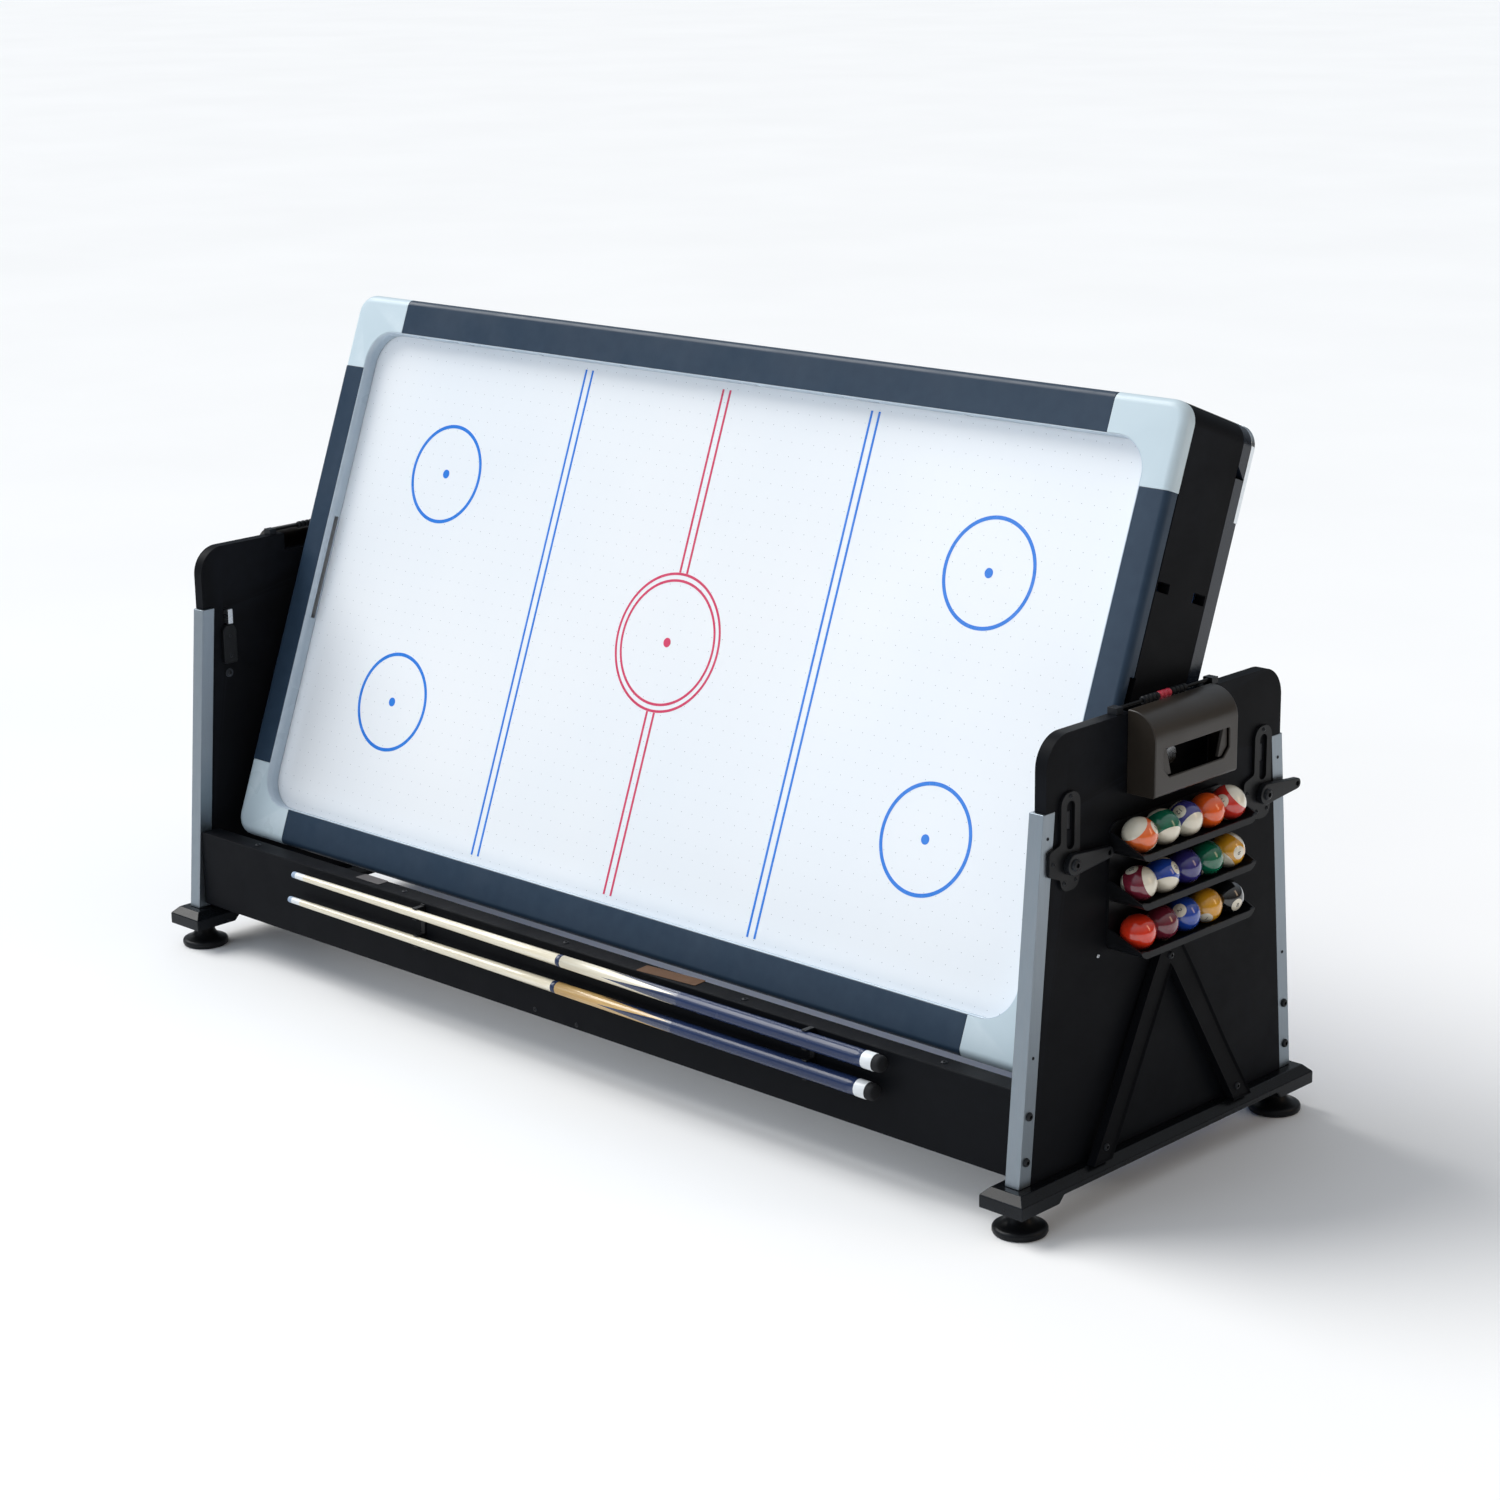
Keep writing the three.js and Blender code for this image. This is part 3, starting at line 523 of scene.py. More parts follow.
def dressed(node, body, material, bevel=0.001, segments=2, sharp=32, edit=None, splits=()):
    """A finished piece in the exact place and shape of a CAD node, with its edges rounded."""
    bm = solid_of(node, splits)
    if edit:
        edit(bm)
    return piece(f"{node}_finish", bm, body, material, UPRIGHT, bevel, segments, (node,), sharp)


def carve(target, bm_cutter):
    """Cuts a solid out of a piece's mesh."""
    cutter = mesh_object("cutter", bm_cutter, place=target.matrix_world)
    others = list(target.modifiers)
    for other in others:
        other.show_viewport = False
    cutting = target.modifiers.new("cut", "BOOLEAN")
    cutting.operation = "DIFFERENCE"
    cutting.solver = "EXACT"
    cutting.object = cutter
    bpy.context.view_layer.update()
    whole = target.evaluated_get(bpy.context.evaluated_depsgraph_get())
    result = bpy.data.meshes.new_from_object(whole)
    for other in others:
        other.show_viewport = True
    target.modifiers.remove(cutting)
    shade(result, 32)
    old = (target.data, cutter.data)
    target.data = result
    bpy.data.objects.remove(cutter)
    for mesh in old:
        bpy.data.meshes.remove(mesh)


def axis_place(point, direction):
    """A place whose z axis points along a direction."""
    turn = Vector(direction).to_track_quat("Z", "Y").to_matrix().to_4x4()
    return Matrix.Translation(point) @ turn


def fastener(bm, point, direction, radius, height, segments=20):
    """A domed screw head with a round drive socket, sitting on a face."""
    socket = radius * 0.42
    profile = [(0, 0), (radius, 0), (radius, height * 0.35), (radius * 0.85, height * 0.8),
               (radius * 0.6, height), (socket, height), (socket * 0.9, height * 0.3), (0, height * 0.3)]
    turned(bm, profile, axis_place(point, direction), segments)


# -------------------- stand
def edge_y(z):
    """Half depth of the end panel's sloping edge at a height."""
    low_y, high_y, low_z, high_z = 0.358, 0.307, 0.078, 0.665
    return low_y - (low_y - high_y) * (z - low_z) / (high_z - low_z)


def make_stand():
    for name, side in SIDES:
        dressed(f"{name}_end_panel", "stand", PANEL_BLACK, 0.0022, 3)
        dressed(f"{name}_foot_bar", "stand", GLOSS_BLACK, 0.0016, 3)
        for face_name, face in FACES:
            make_profile(name, side, face_name, face)
            make_leveler(f"{name}_{face_name}")
        make_brace(name, side)
        make_panel_screws(name, side)
    for face_name, face in FACES:
        dressed(f"{face_name}_beam", "stand", PANEL_BLACK, 0.0020, 3)
    make_beam_trim()


def make_profile(name, side, face_name, face):
    dressed(f"{name}_{face_name}_profile", "stand", ALUMINIUM, 0.0012, 3)
    screws, bolts = bmesh.new(), bmesh.new()
    for z in (0.626, 0.285):
        y = face * (edge_y(z) - 0.014)
        fastener(screws, (side * PANEL_X, y, z), (side, 0, 0), 0.0028, 0.0010)
    for z in (0.193, 0.120):
        y = face * (edge_y(z) - 0.013)
        fastener(bolts, (side * PANEL_X, y, z), (side, 0, 0), 0.0072, 0.0042, segments=28)
    piece(f"{name}_{face_name}_profile_screws", screws, "stand", BLACK_METAL)
    piece(f"{name}_{face_name}_profile_bolts", bolts, "stand", BLACK_METAL)


def make_leveler(key):
    """Flared foot with a soft pad, a lock nut and a threaded stem."""
    bm = bmesh.new()
    node = f"{key}_leveler"
    lo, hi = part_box(node)
    place = Matrix.Translation(((lo.x + hi.x) / 2, (lo.y + hi.y) / 2, 0))
    dome = [(0, 0), (0.0395, 0), (0.0425, 0.0012), (0.0440, 0.0042), (0.0440, 0.0092), (0.0425, 0.0122),
            (0.0385, 0.0142), (0.0330, 0.0155), (0.0275, 0.0185), (0.0230, 0.0228), (0.0202, 0.0275),
            (0.0188, 0.0320), (0.0180, 0.0360), (0.0180, 0.0432), (0.0172, 0.0437), (0.0080, 0.0437)]
    stem = []
    for ring in range(17):
        z = 0.0440 + ring * 0.0015
        stem += [(0.0078, z), (0.0070, z + 0.00075)]
    turned(bm, dome + stem + [(0.0070, 0.0700), (0, 0.0700)], place, 48)
    piece(f"{node}_finish", bm, f"{key}_foot", BLACK_PLASTIC, stands_for=(node,), sharp=40)


def make_brace(name, side):
    """The strut's outer face is sunk between two raised edges."""
    def sink(bm):
        outer = max(bm.faces, key=lambda f: side * f.calc_center_median().x * 10 + f.calc_area())
        bmesh.ops.inset_region(bm, faces=[outer], thickness=0.0035, depth=0)
        bmesh.ops.translate(bm, verts=outer.verts, vec=(-side * 0.0040, 0, 0))
    dressed(f"{name}_brace", "stand", PANEL_BLACK, 0.0009, 2, edit=sink)
    bm = bmesh.new()
    lo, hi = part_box("right_brace")
    lean = 0.013 / (hi.z - lo.z)
    for y, z in ((-0.173, 0.100), (0.173, 0.100), (0, 0.368)):
        face_x = hi.x - lean * (z - lo.z) - 0.004
        fastener(bm, (side * face_x, y, z), (side, 0, lean), 0.0060, 0.0032)
    piece(f"{name}_brace_screws", bm, "stand", BLACK_METAL)


def make_panel_screws(name, side):
    bm = bmesh.new()
    for y in (-0.170, 0.170):
        fastener(bm, (side * PANEL_X, y, 0.408), (side, 0, 0), 0.0034, 0.0016)
    piece(f"{name}_panel_screws", bm, "stand", STEEL)


def make_beam_trim():
    """Two thin flat patches, brown and grey, and small screws on the front beam's top, and screws in its
    face.
    """
    top = BEAM_TOP_Z + 0.0002
    # two thin flat patches, one brown and one grey, laid on the beam top
    for plate, (x, y), (long, wide), turn, material in (
            ("brown_patch", (0.2566, -0.3215), (0.130, 0.030), 5, BROWN_PATCH),
            ("grey_patch", (-0.530, -0.3155), (0.066, 0.025), 0, GREY_PATCH)):
        bm = bmesh.new()
        prism(bm, rectangle(-long / 2, long / 2, -wide / 2, wide / 2, 0.003), 0.0, 0.0008)
        place = Matrix.Translation((x, y, top)) @ Matrix.Rotation(math.radians(turn), 4, "Z")
        piece(f"front_beam_{plate}", bm, "stand", material, place, bevel=0.0003)
    bm = bmesh.new()
    for face in (-1, 1):
        for x in (-0.86, -0.43, 0.0, 0.43, 0.86):
            fastener(bm, (x, face * 0.322, top), (0, 0, 1), 0.0055, 0.0020)
    for x, z in ((-0.064, 0.092), (0.042, 0.089)):
        fastener(bm, (x, BEAM_FACE_Y + 0.0002, z + 0.006), (0, -1, 0), 0.0042, 0.0016)
    piece("beam_top_screws", bm, "stand", BLACK_METAL)


# -------------------- latches
def blacken_outside(bm):
    """The bolt's outer half is painted black as the shade in the window of its plate; the bolt is steel
    throughout.
    """
    middle = (PANEL_X + PANEL_IN_X) / 2
    for end in (-1, 1):
        bisect(bm, (end * middle, 0, 0), (1, 0, 0))
    for face in bm.faces:
        face.material_index = 1 if abs(face.calc_center_median().x) > middle else 0


def make_latches():
    hub_x = 1.0560
    for key, side, face in CORNERS:
        y = face * LATCH_Y
        dressed(f"{key}_latch_lever", f"{key}_lever", BLACK_METAL, 0.0022, 3)
        # steel bolt whose outer half is painted black as shade in the plate's window
        dressed(f"{key}_latch_bolt", f"{key}_bolt", [STEEL, BLACK_METAL], 0.0012, 3,
                edit=blacken_outside)
        make_latch_plate(key, side, y)
        make_latch_guide(key, side, y)
        bm = bmesh.new()
        fastener(bm, (side * hub_x, y, LEVER_Z), (side, 0, 0), 0.0095, 0.0045, segments=24)
        piece(f"{key}_lever_nut", bm, f"{key}_lever", BLACK_METAL, sharp=40)


def make_latch_plate(key, side, y):
    """Backing plate on the outer face with a long window for the bolt and a lug beside the hub."""
    low, high = PANEL_X + 0.0003, PANEL_X + 0.0053
    bm = bmesh.new()
    outline = filleted([(0.023, 0.535, 0.018), (0.023, 0.690, 0.020), (-0.023, 0.690, 0.020),
                        (-0.023, 0.612, 0.006), (-0.050, 0.604, 0.007), (-0.050, 0.566, 0.007),
                        (-0.023, 0.556, 0.006), (-0.023, 0.535, 0.018)])
    prism(bm, [(a + y, b) for a, b in outline], side * low, side * high, ALONG_X)
    plate = piece(f"{key}_latch_plate", bm, "stand", BLACK_PLASTIC, bevel=0.0016, segments=3)
    cut = bmesh.new()
    window = rectangle(y - 0.0095, y + 0.0095, 0.600, 0.676, 0.009)
    prism(cut, window, side * (low - 0.01), side * (high + 0.01), ALONG_X)
    disc(cut, 0.0066, -0.02, 0.02, axis_place((side * low, y, LEVER_Z), (side, 0, 0)), 24)
    carve(plate, cut)
    screws = bmesh.new()
    for dy, z in ((0.0, 0.6835), (-0.014, 0.549), (0.014, 0.549), (-0.041, 0.585)):
        fastener(screws, (side * high, y + dy, z), (side, 0, 0), 0.0034, 0.0018)
    piece(f"{key}_latch_screws", screws, "stand", BLACK_METAL, sharp=40)


def make_latch_guide(key, side, y):
    """Guide block under the bolt on the inner face, with its fixing screw and washer."""
    outer = PANEL_IN_X - 0.0003
    bm = bmesh.new()
    outline = filleted([(y - 0.0155, 0.552, 0.004), (y + 0.0155, 0.552, 0.004), (y + 0.0155, 0.618, 0.004),
                        (y + 0.0085, 0.627, 0.003), (y - 0.0085, 0.627, 0.003), (y - 0.0155, 0.618, 0.004)])
    prism(bm, outline, side * (outer - 0.0095), side * outer, ALONG_X)
    piece(f"{key}_latch_guide", bm, "stand", BLACK_PLASTIC, bevel=0.0012, segments=3)
    screws = bmesh.new()
    place = axis_place((side * outer, y, 0.531), (-side, 0, 0))
    disc(screws, 0.0085, 0, 0.0012, place, 28)
    fastener(screws, (side * (outer - 0.0012), y, 0.531), (-side, 0, 0), 0.0050, 0.0028)
    for z in (0.566, 0.606):
        fastener(screws, (side * (outer - 0.0095), y, z), (-side, 0, 0), 0.0032, 0.0014)
    piece(f"{key}_guide_screws", screws, "stand", BLACK_METAL, sharp=40)


# -------------------- puck boxes, scorers, ball rack
def make_puck_box(name, side):
    """Moulded hood with a rounded top and a wide mouth with cut lower corners and a cheek at each end."""
    back, front, low, high, half = PANEL_X + 0.0003, 1.095, 0.655, 0.788, 0.106
    wall, curve = 0.004, 0.045

    def section(inset, skip):
        r = curve - inset
        return filleted([(back - skip, low + inset, 0), (front - inset, low + inset, 0.006),
                         (front - inset, high - inset, r), (back - skip, high - inset, 0)], 12)

    bm = bmesh.new()
    prism(bm, [(side * a, b) for a, b in section(0, 0)], -half, half, ALONG_Y)
    node = f"{name}_puck_box"
    box = piece(f"{node}_finish", bm, "stand", BOX_PLASTIC, bevel=0.0025, segments=3,
                stands_for=(node,))
    hollow = bmesh.new()
    prism(hollow, [(side * a, b) for a, b in section(wall, 0.01)], wall - half, half - wall, ALONG_Y)
    carve(box, hollow)
    opening = bmesh.new()
    prism(opening, mouth_outline(), side * (front - 0.02), side * (front + 0.02), ALONG_X)
    carve(box, opening)
    cheeks = bmesh.new()
    for end in (-1, 1):
        outline = [(0.0835, 0.7295), (0.0835, 0.6995), (0.0700, 0.6860), (0.0600, 0.6860), (0.0730, 0.7295)]
        mirrored = [(end * a, b) for a, b in outline]
        prism(cheeks, mirrored, side * (front - 0.010), side * (front - 0.0045), ALONG_X)
    # cheeks painted lighter than the box as a highlight
    piece(f"{name}_puck_box_cheeks", cheeks, "stand", CHEEK_HIGHLIT, bevel=0.0010, segments=3)


def mouth_outline():
    """The mouth in y and z."""
    return filleted([(-0.070, 0.684, 0.004), (0.070, 0.684, 0.004), (0.085, 0.699, 0.004),
                     (0.085, 0.730, 0.004), (-0.085, 0.730, 0.004), (-0.085, 0.699, 0.004)])


def make_scorer(name):
    """Counting beads on a rod: eight black ones, and three red ones in the middle."""
    dressed(f"{name}_scorer_rail", "stand", BLACK_PLASTIC, 0.0012, 3)
    lo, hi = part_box(f"{name}_scorer_beads")
    middle = (lo + hi) / 2
    count, pitch, radius = 11, 0.010, 0.007
    for i in range(count):
        bm = bmesh.new()
        y = (i - (count - 1) / 2) * pitch
        h = pitch / 2 - 0.0001
        profile = [(0.0036, -h), (0.0052, -h), (0.0064, -h * 0.72), (radius, -h * 0.35), (radius, h * 0.35),
                   (0.0064, h * 0.72), (0.0052, h), (0.0036, h)]
        turned(bm, profile, axis_place((middle.x, y, middle.z), (0, 1, 0)), 24)
        material = RED if abs(i - count // 2) <= 1 else BLACK_PLASTIC
        piece(f"{name}_scorer_bead_{i + 1}", bm, f"{name}_beads", material,
              stands_for=(f"{name}_scorer_beads",), sharp=60)


# number, colour, striped, and where the spot and the bare pole face, as shares of the ball's
# radius to the right and up when it is seen from the front right
BALLS = {
    "top": ((13, "#ee6f33", True, (0.80, 0.45), (-0.85, 0.42)),
            (14, "#0f6b4f", True, (-0.80, -0.05), (0.40, -0.80)),
            (12, "#3b3a86", True, (-0.42, 0.42), (0.62, -0.60)),
            (5, "#f0601f", False, (-0.85, -0.25), (0.3, 0.9)),
            (11, "#d3352b", True, (-0.5, 0.1), (0.3, 0.6))),
    "middle": ((15, "#7a2436", True, (-0.45, 0.80), (0.78, 0.38)),
               (10, "#2349ad", True, (0.75, 0.45), (0.30, -0.80)),
               (4, "#342f79", False, (0.5, -0.95), (0.3, 0.5)),
               (6, "#0f6a4c", False, (-0.55, -0.70), (0.5, 0.4)),
               (9, "#e0a024", True, (0.57, -0.13), (-0.62, -0.75))),
    "bottom": ((3, "#e2371d", False, (-0.60, -0.78), (0.5, 0.5)),
               (7, "#6f2233", False, (0.2, -1.0), (0.5, 0.5)),
               (2, "#2247a8", False, (-0.30, 0.25), (0.5, 0.5)),
               (1, "#e0a024", False, (0.0, -0.72), (0.5, 0.5)),
               (8, "#101216", False, (0.55, -0.45), (0.5, 0.5))),
}
VIEW_RIGHT = Vector((0.719, 0.695, -0.016))
VIEW_UP = Vector((-0.176, 0.204, 0.963))
VIEW_BACK = Vector((0.673, -0.690, 0.268))


def faced(right, up):
    """The direction of a point on a ball, given to the right and up as seen from the front right."""
    out = math.sqrt(max(0.0, 1 - right * right - up * up))
    return (VIEW_RIGHT * right + VIEW_UP * up + VIEW_BACK * out).normalized()


def make_balls():
    for row in BALL_ROWS:
        z = sum(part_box(f"{row}_ball_row"), Vector()).z / 2
        for i, (number, colour, striped, spot, pole) in enumerate(BALLS[row]):
            x_axis = faced(*spot)
            z_axis = faced(*pole)
            z_axis = (z_axis - x_axis * z_axis.dot(x_axis)).normalized()
            y_axis = z_axis.cross(x_axis)
            turn = Matrix((x_axis, y_axis, z_axis)).transposed().to_4x4()
            place = Matrix.Translation((BALL_X, (i - 2) * (2 * BALL_R + 0.0002), z))
            bm = bmesh.new()
            bmesh.ops.create_icosphere(bm, subdivisions=5, radius=BALL_R)
            finish = ball_finish(number, colour, striped, x_axis, z_axis)
            piece(f"ball_{number}", bm, f"{row}_balls", finish,
                  place, stands_for=(f"{row}_ball_row",), sharp=80)
            make_number(number, row, place, turn)


def make_number(number, row, place, turn):
    """The ball's number, laid on both white spots as a thin print that follows the ball."""
    curve = bpy.data.curves.new("number", "FONT")
    curve.body = str(number)
    curve.size = 0.0105
    curve.align_x = "CENTER"
    curve.align_y = "CENTER"
    writing = placed("number", curve)
    bpy.context.view_layer.update()
    flat = bpy.data.meshes.new_from_object(writing.evaluated_get(bpy.context.evaluated_depsgraph_get()))
    bpy.data.objects.remove(writing)
    bpy.data.curves.remove(curve)
    bm = bmesh.new()
    for end in (-1, 1):
        part = bmesh.new()
        part.from_mesh(flat)
        bmesh.ops.triangulate(part, faces=part.faces)
        bmesh.ops.subdivide_edges(part, edges=part.edges, cuts=1)
        for vert in part.verts:
            a, b = vert.co.x * end, vert.co.y
            depth = math.sqrt((BALL_R + 0.00012) ** 2 - a * a - b * b)
            vert.co = turn @ Vector((end * depth, a, b))
        whole = bpy.data.meshes.new("print")
        part.to_mesh(whole)
        part.free()
        bm.from_mesh(whole)
        bpy.data.meshes.remove(whole)
    bpy.data.meshes.remove(flat)
    printed = piece(f"ball_{number}_print", bm, f"{row}_balls", NUMBER_INK, place, sharp=80)
    thicken(printed, 0.0001, 0)


# -------------------- cues
def make_cues():
    splices = {"upper": splice_finish("cue_splice_pale", "#e3dcc8", "#d8cdb2", 0.845, 1.020),
               "lower": splice_finish("cue_splice_honey", "#cfae72", "#b98f52", 0.845, 1.020)}
    for name in CUES:
        lo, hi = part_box(f"{name}_cue")
        tip = Vector((lo.x, (lo.y + hi.y) / 2, (lo.z + hi.z) / 2))
        # radius, distance from the tip, and the material of the stretch that ends there
        stations = [(0.0, 0.0, 0), (0.0040, 0.0, 0), (0.0056, 0.0016, 0), (0.0060, 0.0040, 0),
                    (0.0060, 0.0120, 0), (0.0061, 0.0120, 1), (0.0062, 0.0360, 1), (0.0062, 0.0362, 2),
                    (0.0092, 0.560, 2), (0.0106, 0.7290, 2), (0.0107, 0.7292, 3), (0.0109, 0.7300, 3),
                    (0.0109, 0.7400, 3), (0.0107, 0.7402, 4), (0.0115, 0.860, 4), (0.0128, 1.025, 4),
                    (0.0136, 1.240, 5), (0.0145, 1.420, 5), (0.0145, 1.4365, 5), (0.0147, 1.4368, 6),
                    (0.0148, 1.4380, 6), (0.0148, 1.4580, 6), (0.0145, 1.4590, 6), (0.0140, 1.4592, 7),
                    (0.0140, 1.4680, 7), (0.0128, 1.4718, 7), (0.0100, 1.4730, 7), (0.0, 1.4730, 7)]
        bm = bmesh.new()
        along = Vector((1, 0, 0)).to_track_quat("Z", "Y").to_matrix().to_4x4()
        turned(bm, [(r, x) for r, x, _ in stations], along, 40, lambda i: stations[i + 1][2])
        node = f"{name}_cue"
        piece(f"{node}_finish", bm, f"{node}_stick",
              [LEATHER, WHITE_RESIN, MAPLE, NAVY, splices[name], NAVY, WHITE_RESIN, RUBBER],
              Matrix.Translation(tip), stands_for=(node,), sharp=50)
    for name, _ in SIDES:
        dressed(f"{name}_cue_clip", "stand", BLACK_PLASTIC, 0.0007, 2)


# -------------------- playfield
def make_playfield():
    across = DECK.to_3x3() @ Vector((0, 1, 0))
    keepers = [(DECK @ Vector((0, v, 0)), across) for v in (-LATCH_Y, LATCH_Y)]
    for name, side in SIDES:
        dressed(f"{name}_end_apron", "playfield", PANEL_BLACK, 0.0014, 3, splits=keepers)
        dressed(f"{name}_hockey_rail", "playfield", SLATE, 0.0008, 2)
        for face_name, face in FACES:
            make_hockey_cap(f"{name}_{face_name}", side, face)
    for name, face in FACES:
        dressed(f"{name}_apron", "playfield", PANEL_BLACK, 0.0014, 3)
        dressed(f"{name}_hockey_rail", "playfield", SLATE, 0.0008, 2)
    make_board("hockey_surface", SHEET, HOCKEY_FLOOR - 0.006, HOCKEY_FLOOR, 0.0005)
    make_wall_liner()
    make_markings()
    make_pool_side()


def make_board(node, material, low, high, bevel):
    """A flat board that fills the inside of the four aprons."""
    bm = bmesh.new()
    half_u, half_v = DECK_U - APRON, DECK_V - APRON
    prism(bm, rectangle(-half_u, half_u, -half_v, half_v), low, high)
    return piece(f"{node}_finish", bm, "playfield", material, DECK, bevel, stands_for=(node,))


def make_hockey_cap(key, side, face):
    """Moulded rail corner with a bullnose along its outer edges and a hollow inner corner."""
    nose, steps, corner = 0.016, 6, 0.038
    u0, v0 = DECK_U - CAP, DECK_V - CAP
    loop = [((u0, DECK_V), (0, 1)), ((u0, HOCKEY_IN_V), None)]
    loop += [(p, None) for p in circle(HOCKEY_IN_U - INNER_R, HOCKEY_IN_V - INNER_R, INNER_R, 10,
                                       math.pi / 2, -math.pi / 2)]
    loop += [((HOCKEY_IN_U, v0), None), ((DECK_U, v0), (1, 0))]
    for k in range(9):
        angle = math.pi / 2 * k / 8
        way = (math.cos(angle), math.sin(angle))
        loop.append(((DECK_U - corner + corner * way[0], DECK_V - corner + corner * way[1]), way))
    bm = bmesh.new()
    layers = [(0.0, HOCKEY_UNDER)]
    for k in range(steps + 1):
        angle = math.pi / 2 * k / steps
        layers.append((nose * (1 - math.cos(angle)), HOCKEY_TOP - nose + nose * math.sin(angle)))
    rings = []
    for inset, n in layers:
        ring = []
        for (u, v), way in loop:
            pull = Vector(way) * inset if way else Vector((0, 0))
            ring.append(bm.verts.new((side * (u - pull.x), face * (v - pull.y), n)))
        rings.append(ring)
    bm.faces.new(rings[0])
    bm.faces.new(rings[-1])
    for one, two in zip(rings, rings[1:]):
        skin(bm, one, two)
    bmesh.ops.remove_doubles(bm, verts=bm.verts, dist=1e-6)
    node = f"{key}_hockey_cap"
    piece(f"{node}_finish", bm, "playfield", CAP_GREY, DECK, 0.0012, 3, (node,), 40)


def make_wall_liner():
    """Pale wall round the inside of the rails, open at the two goal slots."""
    gap = 0.0003
    half_u, half_v = HOCKEY_IN_U - gap, HOCKEY_IN_V - gap
    path = []
    outline = rectangle(-half_u, half_u, -half_v, half_v, INNER_R - gap, 12)
    for i, point in enumerate(outline):
        path.append(point)
        after = outline[(i + 1) % len(outline)]
        if abs(point.x - after.x) < 1e-6 and abs(point.y - after.y) > 0.5:
            ends = (-GOAL_V, GOAL_V) if after.y > point.y else (GOAL_V, -GOAL_V)
            path += [Vector((point.x, v)) for v in ends]
    levels = (HOCKEY_FLOOR + 0.0002, HOCKEY_UNDER, GOAL_TOP, HOCKEY_TOP - 0.0008)
    bm = bmesh.new()
    columns = [[bm.verts.new((p.x, p.y, n)) for n in levels] for p in path]
    for k, one in enumerate(columns):
        two = columns[(k + 1) % len(columns)]
        in_goal = all(abs(c[0].co.y) < GOAL_V + 1e-6 for c in (one, two)) and abs(one[0].co.x) > half_u - 1e-6
        for row in range(len(levels) - 1):
            if in_goal and row == 1:
                continue
            bm.faces.new((one[row], two[row], two[row + 1], one[row + 1]))
    liner = piece("hockey_wall_liner", bm, "playfield", WALL_GREY, DECK, sharp=40)
    face = max(liner.data.polygons, key=lambda p: p.area)
    looks_in = face.normal.dot(face.center) < 0
    thicken(liner, 0.0016, 1 if looks_in else -1)


def make_markings():
    """Face-off circles, zone lines and the centre circle, each a film on the sheet."""
    low, high = HOCKEY_FLOOR - 0.0002, HOCKEY_FLOOR + 0.00025
    line_end, spot_u, spot_v, zone_u = 0.4545, 0.663, 0.221, 0.348
    pair, width, ring, dot, circle_r = 0.0085, 0.0023, 0.0033, 0.0085, 0.0914
    blue, red = bmesh.new(), bmesh.new()
    for u in (-spot_u, spot_u):
        for v in (-spot_v, spot_v):
            annulus(blue, (u, v), circle_r - ring, circle_r + ring, low, high)
            disc(blue, dot, low, high, Matrix.Translation((u, v, 0)))
    for u in (-zone_u, zone_u):
        for offset in (-pair, pair):
            prism(blue, rectangle(u + offset - width, u + offset + width, -line_end, line_end), low, high)
    outer, inner = 0.1225, 0.1105
    for radius in (outer, inner):
        annulus(red, (0, 0), radius - width, radius + width, low, high, steps=128)
    disc(red, dot, low, high, UPRIGHT)
    for offset in (-pair, pair):
        for end in (-1, 1):
            stop = math.sqrt((outer + width) ** 2 - pair ** 2) + 0.0003
            span = sorted((end * stop, end * line_end))
            prism(red, rectangle(offset - width, offset + width, *span), low, high)
    piece("blue_markings", blue, "playfield", BLUE_INK, DECK)
    piece("red_markings", red, "playfield", RED_INK, DECK)


# -------------------- pool side
def make_pool_side():
    make_pool_bed()
    deck_inverse = DECK.inverted()
    cover, cloth_end = 0.040, 0.955

    def clothe(nose, axis):
        """Splits the rail's top behind the cushion and covers the cushion with cloth."""
        def edit(bm):
            bmesh.ops.transform(bm, matrix=deck_inverse, verts=bm.verts)
            normal = Vector((1 - axis, axis, 0))
            for end in (-1, 1):
                bisect(bm, normal * (end * (nose + cover)), normal)
            for face in bm.faces:
                reach = max(abs(v.co[axis]) for v in face.verts)
                before_pocket = max(abs(v.co[1 - axis]) for v in face.verts) < cloth_end
                face.material_index = 1 if before_pocket and reach < nose + cover + 1e-5 else 0
            bmesh.ops.transform(bm, matrix=DECK, verts=bm.verts)
        return edit

    for ends, nose, axis in ((SIDES, POOL_NOSE_U, 0), (FACES, POOL_NOSE_V, 1)):
        for name, _ in ends:
            dressed(f"{name}_pool_rail", "playfield", [RAIL_BLACK, CLOTH], 0.0016, 3,
                    edit=clothe(nose, axis))
    make_pockets()
    make_castings()
    make_sights()


def pocket_places():
    u, v, r = CORNER_POCKET
    places = [(key, side * u, face * v, r) for key, side, face in CORNERS]
    return places + [(f"{f}_middle", 0.0, b * SIDE_POCKET[1], SIDE_POCKET[2]) for f, b in FACES]


def make_pool_bed():
    """Cloth-covered board with a round hole under each pocket."""
    bed = make_board("pool_bed", CLOTH, POOL_FLOOR, POOL_FLOOR + 0.018, 0.0006)
    for _, u, v, radius in pocket_places():
        hole = bmesh.new()
        prism(hole, circle(u, v, radius, 48), POOL_FLOOR - 0.01, POOL_FLOOR + 0.03)
        carve(bed, hole)


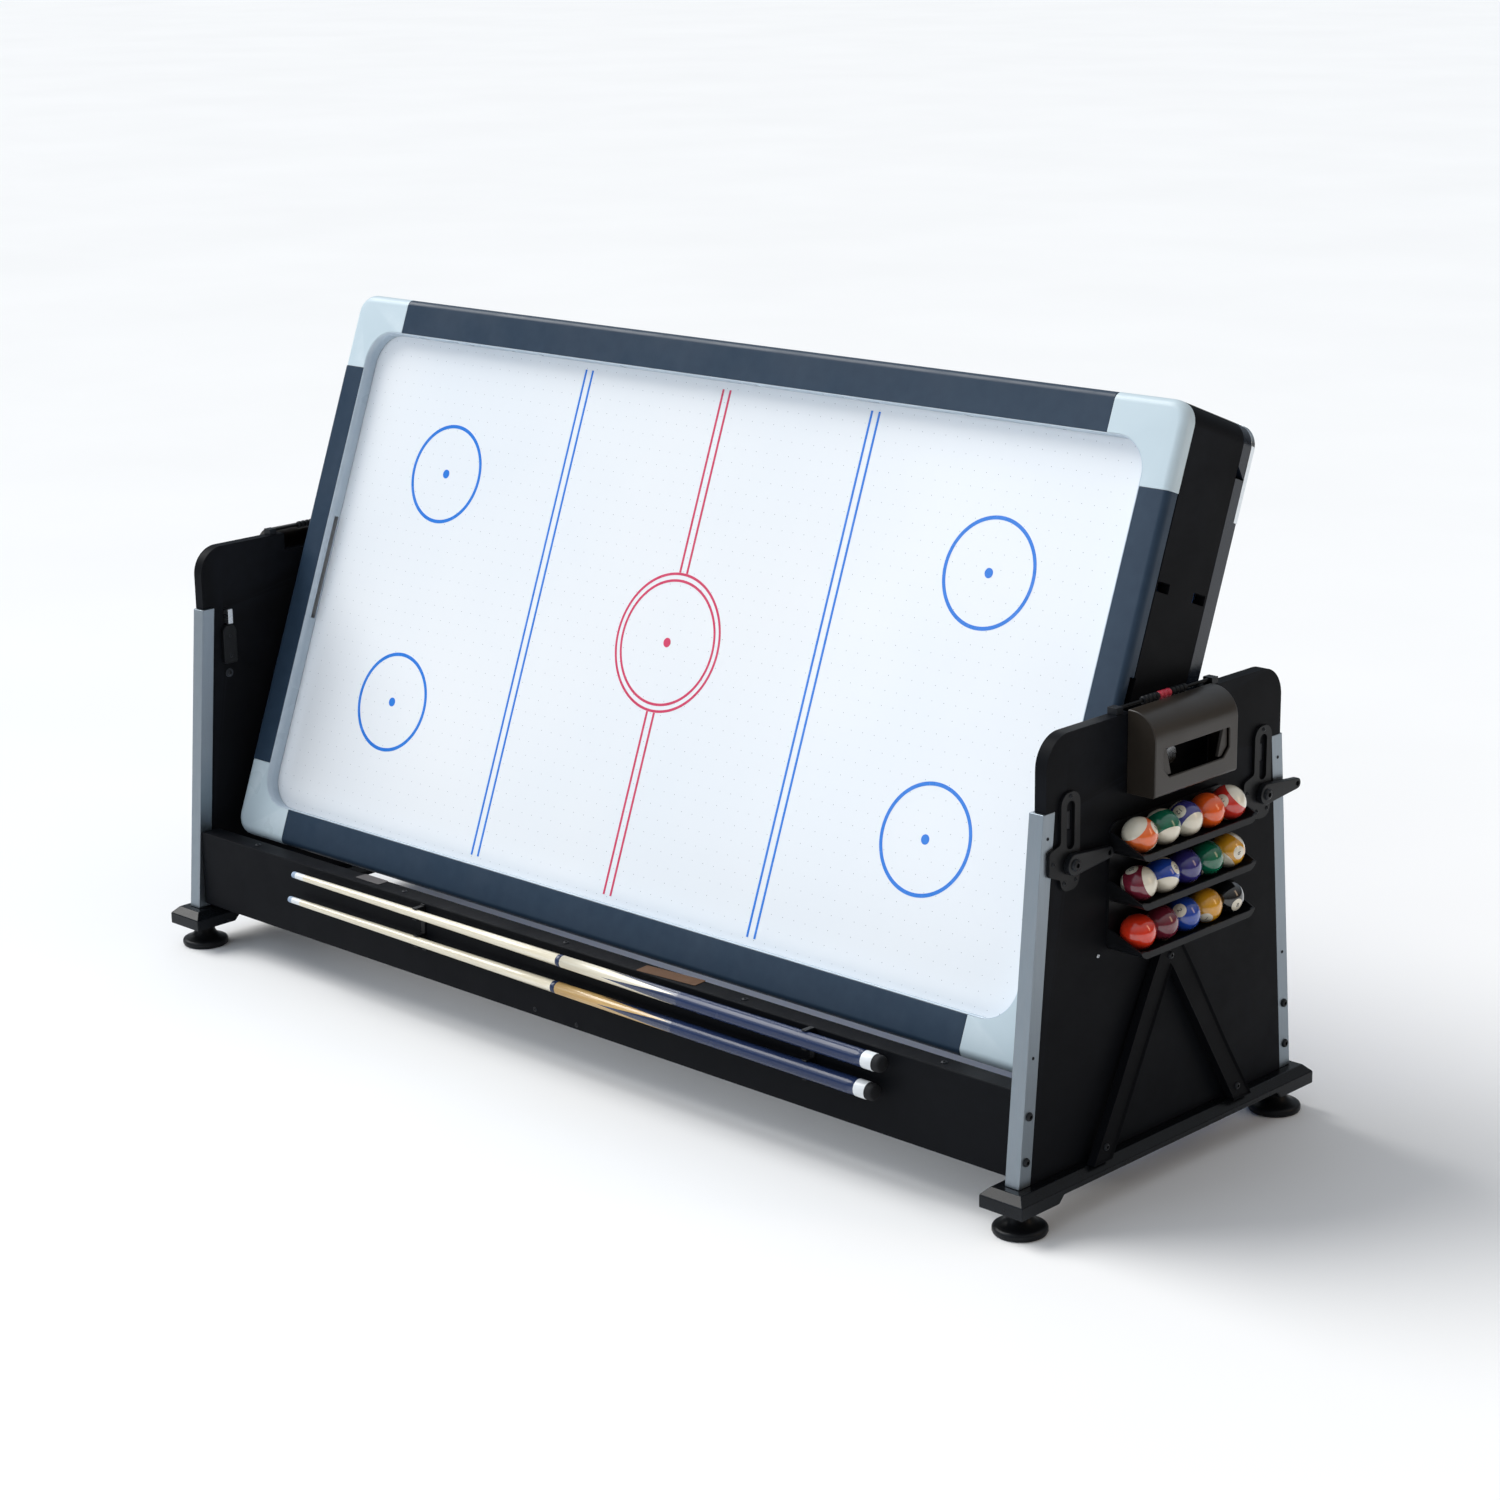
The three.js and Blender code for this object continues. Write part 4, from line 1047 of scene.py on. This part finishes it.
def make_pockets():
    """Drop cups under the six pockets."""
    for name, cu, cv, radius in pocket_places():
        bm = bmesh.new()
        out, wall, top, bottom = radius - 0.0006, 0.0022, POOL_FLOOR + 0.0005, POOL_FLOOR + 0.090
        profile = [(0, bottom), (out - 0.010, bottom), (out - 0.003, bottom - 0.004), (out, bottom - 0.012),
                   (out, top), (out - wall, top), (out - wall, bottom - 0.013),
                   (out - wall - 0.003, bottom - 0.006), (out - 0.012, bottom - wall), (0, bottom - wall)]
        turned(bm, profile, Matrix.Translation((cu, cv, 0)), 48)
        piece(f"{name}_pocket_cup", bm, "playfield", RUBBER, DECK, sharp=45)


def make_castings():
    """Bright corner castings: a plate round each corner pocket with a skirt down the outer edge."""
    u, v, r = CORNER_POCKET
    reach, arm, corner = 0.157, 0.041, 0.038
    skirt = -0.0930
    top = POOL_TOP - 0.0016
    out_u, out_v = DECK_U + 0.0006, DECK_V + 0.0004
    bore = r + 0.0012
    start = math.atan2((out_v - arm) - v, -math.sqrt(bore ** 2 - (out_v - arm - v) ** 2))
    end = math.atan2(-math.sqrt(bore ** 2 - (out_u - arm - u) ** 2), (out_u - arm) - u)
    edge = [Vector((out_u - reach, out_v))]
    edge += circle(out_u - corner, out_v - corner, corner, 10, math.pi / 2, -math.pi / 2)
    edge += [Vector((out_u, out_v - reach))]
    inner = [Vector((out_u - arm, out_v - reach))] + circle(u, v, bore, 20, end, start - end)
    inner += [Vector((out_u - reach, out_v - arm))]
    for key, side, face in CORNERS:
        bm = bmesh.new()
        upper = [bm.verts.new((side * p.x, face * p.y, top)) for p in edge + inner]
        lower = [bm.verts.new((side * p.x, face * p.y, skirt)) for p in edge]
        bm.faces.new(upper)
        for k in range(len(edge) - 1):
            bm.faces.new((upper[k], upper[k + 1], lower[k + 1], lower[k]))
        made = piece(f"{key}_corner_casting", bm, "playfield", CHROME, DECK, sharp=40)
        outward = made.data.polygons[0].normal.z < 0
        thicken(made, 0.0012, -1 if outward else 1)
        round_edges(made, 0.0005, 2)
    make_side_castings()


def make_side_castings():
    """Bright plates over the rail behind each middle pocket."""
    u, v, r = SIDE_POCKET
    half = 0.070
    bore = r + 0.0012
    inner_v = v + 0.020
    swing = math.acos((inner_v - v) / bore)
    top = POOL_TOP - 0.0016
    out_v = DECK_V - 0.0002
    start = math.pi / 2 - swing
    arc = circle(u, v, bore, 20, start, 2 * swing)
    outline = [Vector((half, inner_v)), Vector((half, out_v))]
    outline += [Vector((-half, out_v)), Vector((-half, inner_v))] + arc[::-1]
    for face_name, face in FACES:
        bm = bmesh.new()
        prism(bm, [(a, face * b) for a, b in outline], top, POOL_TOP - 0.0002)
        piece(f"{face_name}_middle_casting", bm, "playfield", CHROME, DECK, bevel=0.0005)


def make_sights():
    """Sights on the rail tops, an eighth of the table's length apart."""
    bm = bmesh.new()
    low, high = POOL_TOP - 0.0008, POOL_TOP + 0.0002
    half_u, half_v = POOL_NOSE_U, POOL_NOSE_V
    line_u, line_v = DECK_U - 0.026, DECK_V - 0.026
    spots = [(a * half_u * k / 4, b * line_v) for k in (1, 2, 3) for a in (-1, 1) for b in (-1, 1)]
    spots += [(a * line_u, half_v * k / 2) for a in (-1, 1) for k in (-1, 0, 1)]
    for u, v in spots:
        diamond = filleted([(u - 0.006, v, 0.0008), (u, v - 0.006, 0.0008), (u + 0.006, v, 0.0008),
                            (u, v + 0.006, 0.0008)], 3)
        prism(bm, diamond, low, high)
    piece("rail_sights", bm, "playfield", PEARL, DECK, bevel=0.0002)


# -------------------- floor and pieces kept from CAD
def make_floor():
    bm = bmesh.new()
    prism(bm, circle(0, 0, 45, 96), -0.02, 0.0)
    finish = Finish("floor", "#f6f6f6", 0.75, specular=0.1)
    finish.mottle("#f1f1f1", 0.6, 0.8)
    mesh_object("floor", bm, [finish.material])


def finish_kept_nodes():
    """The blower and the pivots keep their CAD shape and get their materials here."""
    looks = {"blower_housing": BLACK_PLASTIC, "blower_impeller": STEEL, "left_pivot": STEEL,
             "right_pivot": STEEL}
    for node, material in looks.items():
        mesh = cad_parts[node].data
        mesh.materials.clear()
        mesh.materials.append(material)


make_camera()
make_lights()
make_floor()
make_stand()
make_latches()
for side_name, side_sign in SIDES:
    make_puck_box(side_name, side_sign)
    make_scorer(side_name)
dressed("ball_rack", "stand", BLACK_PLASTIC, 0.0009, 2)
make_balls()
make_cues()
make_playfield()
finish_kept_nodes()
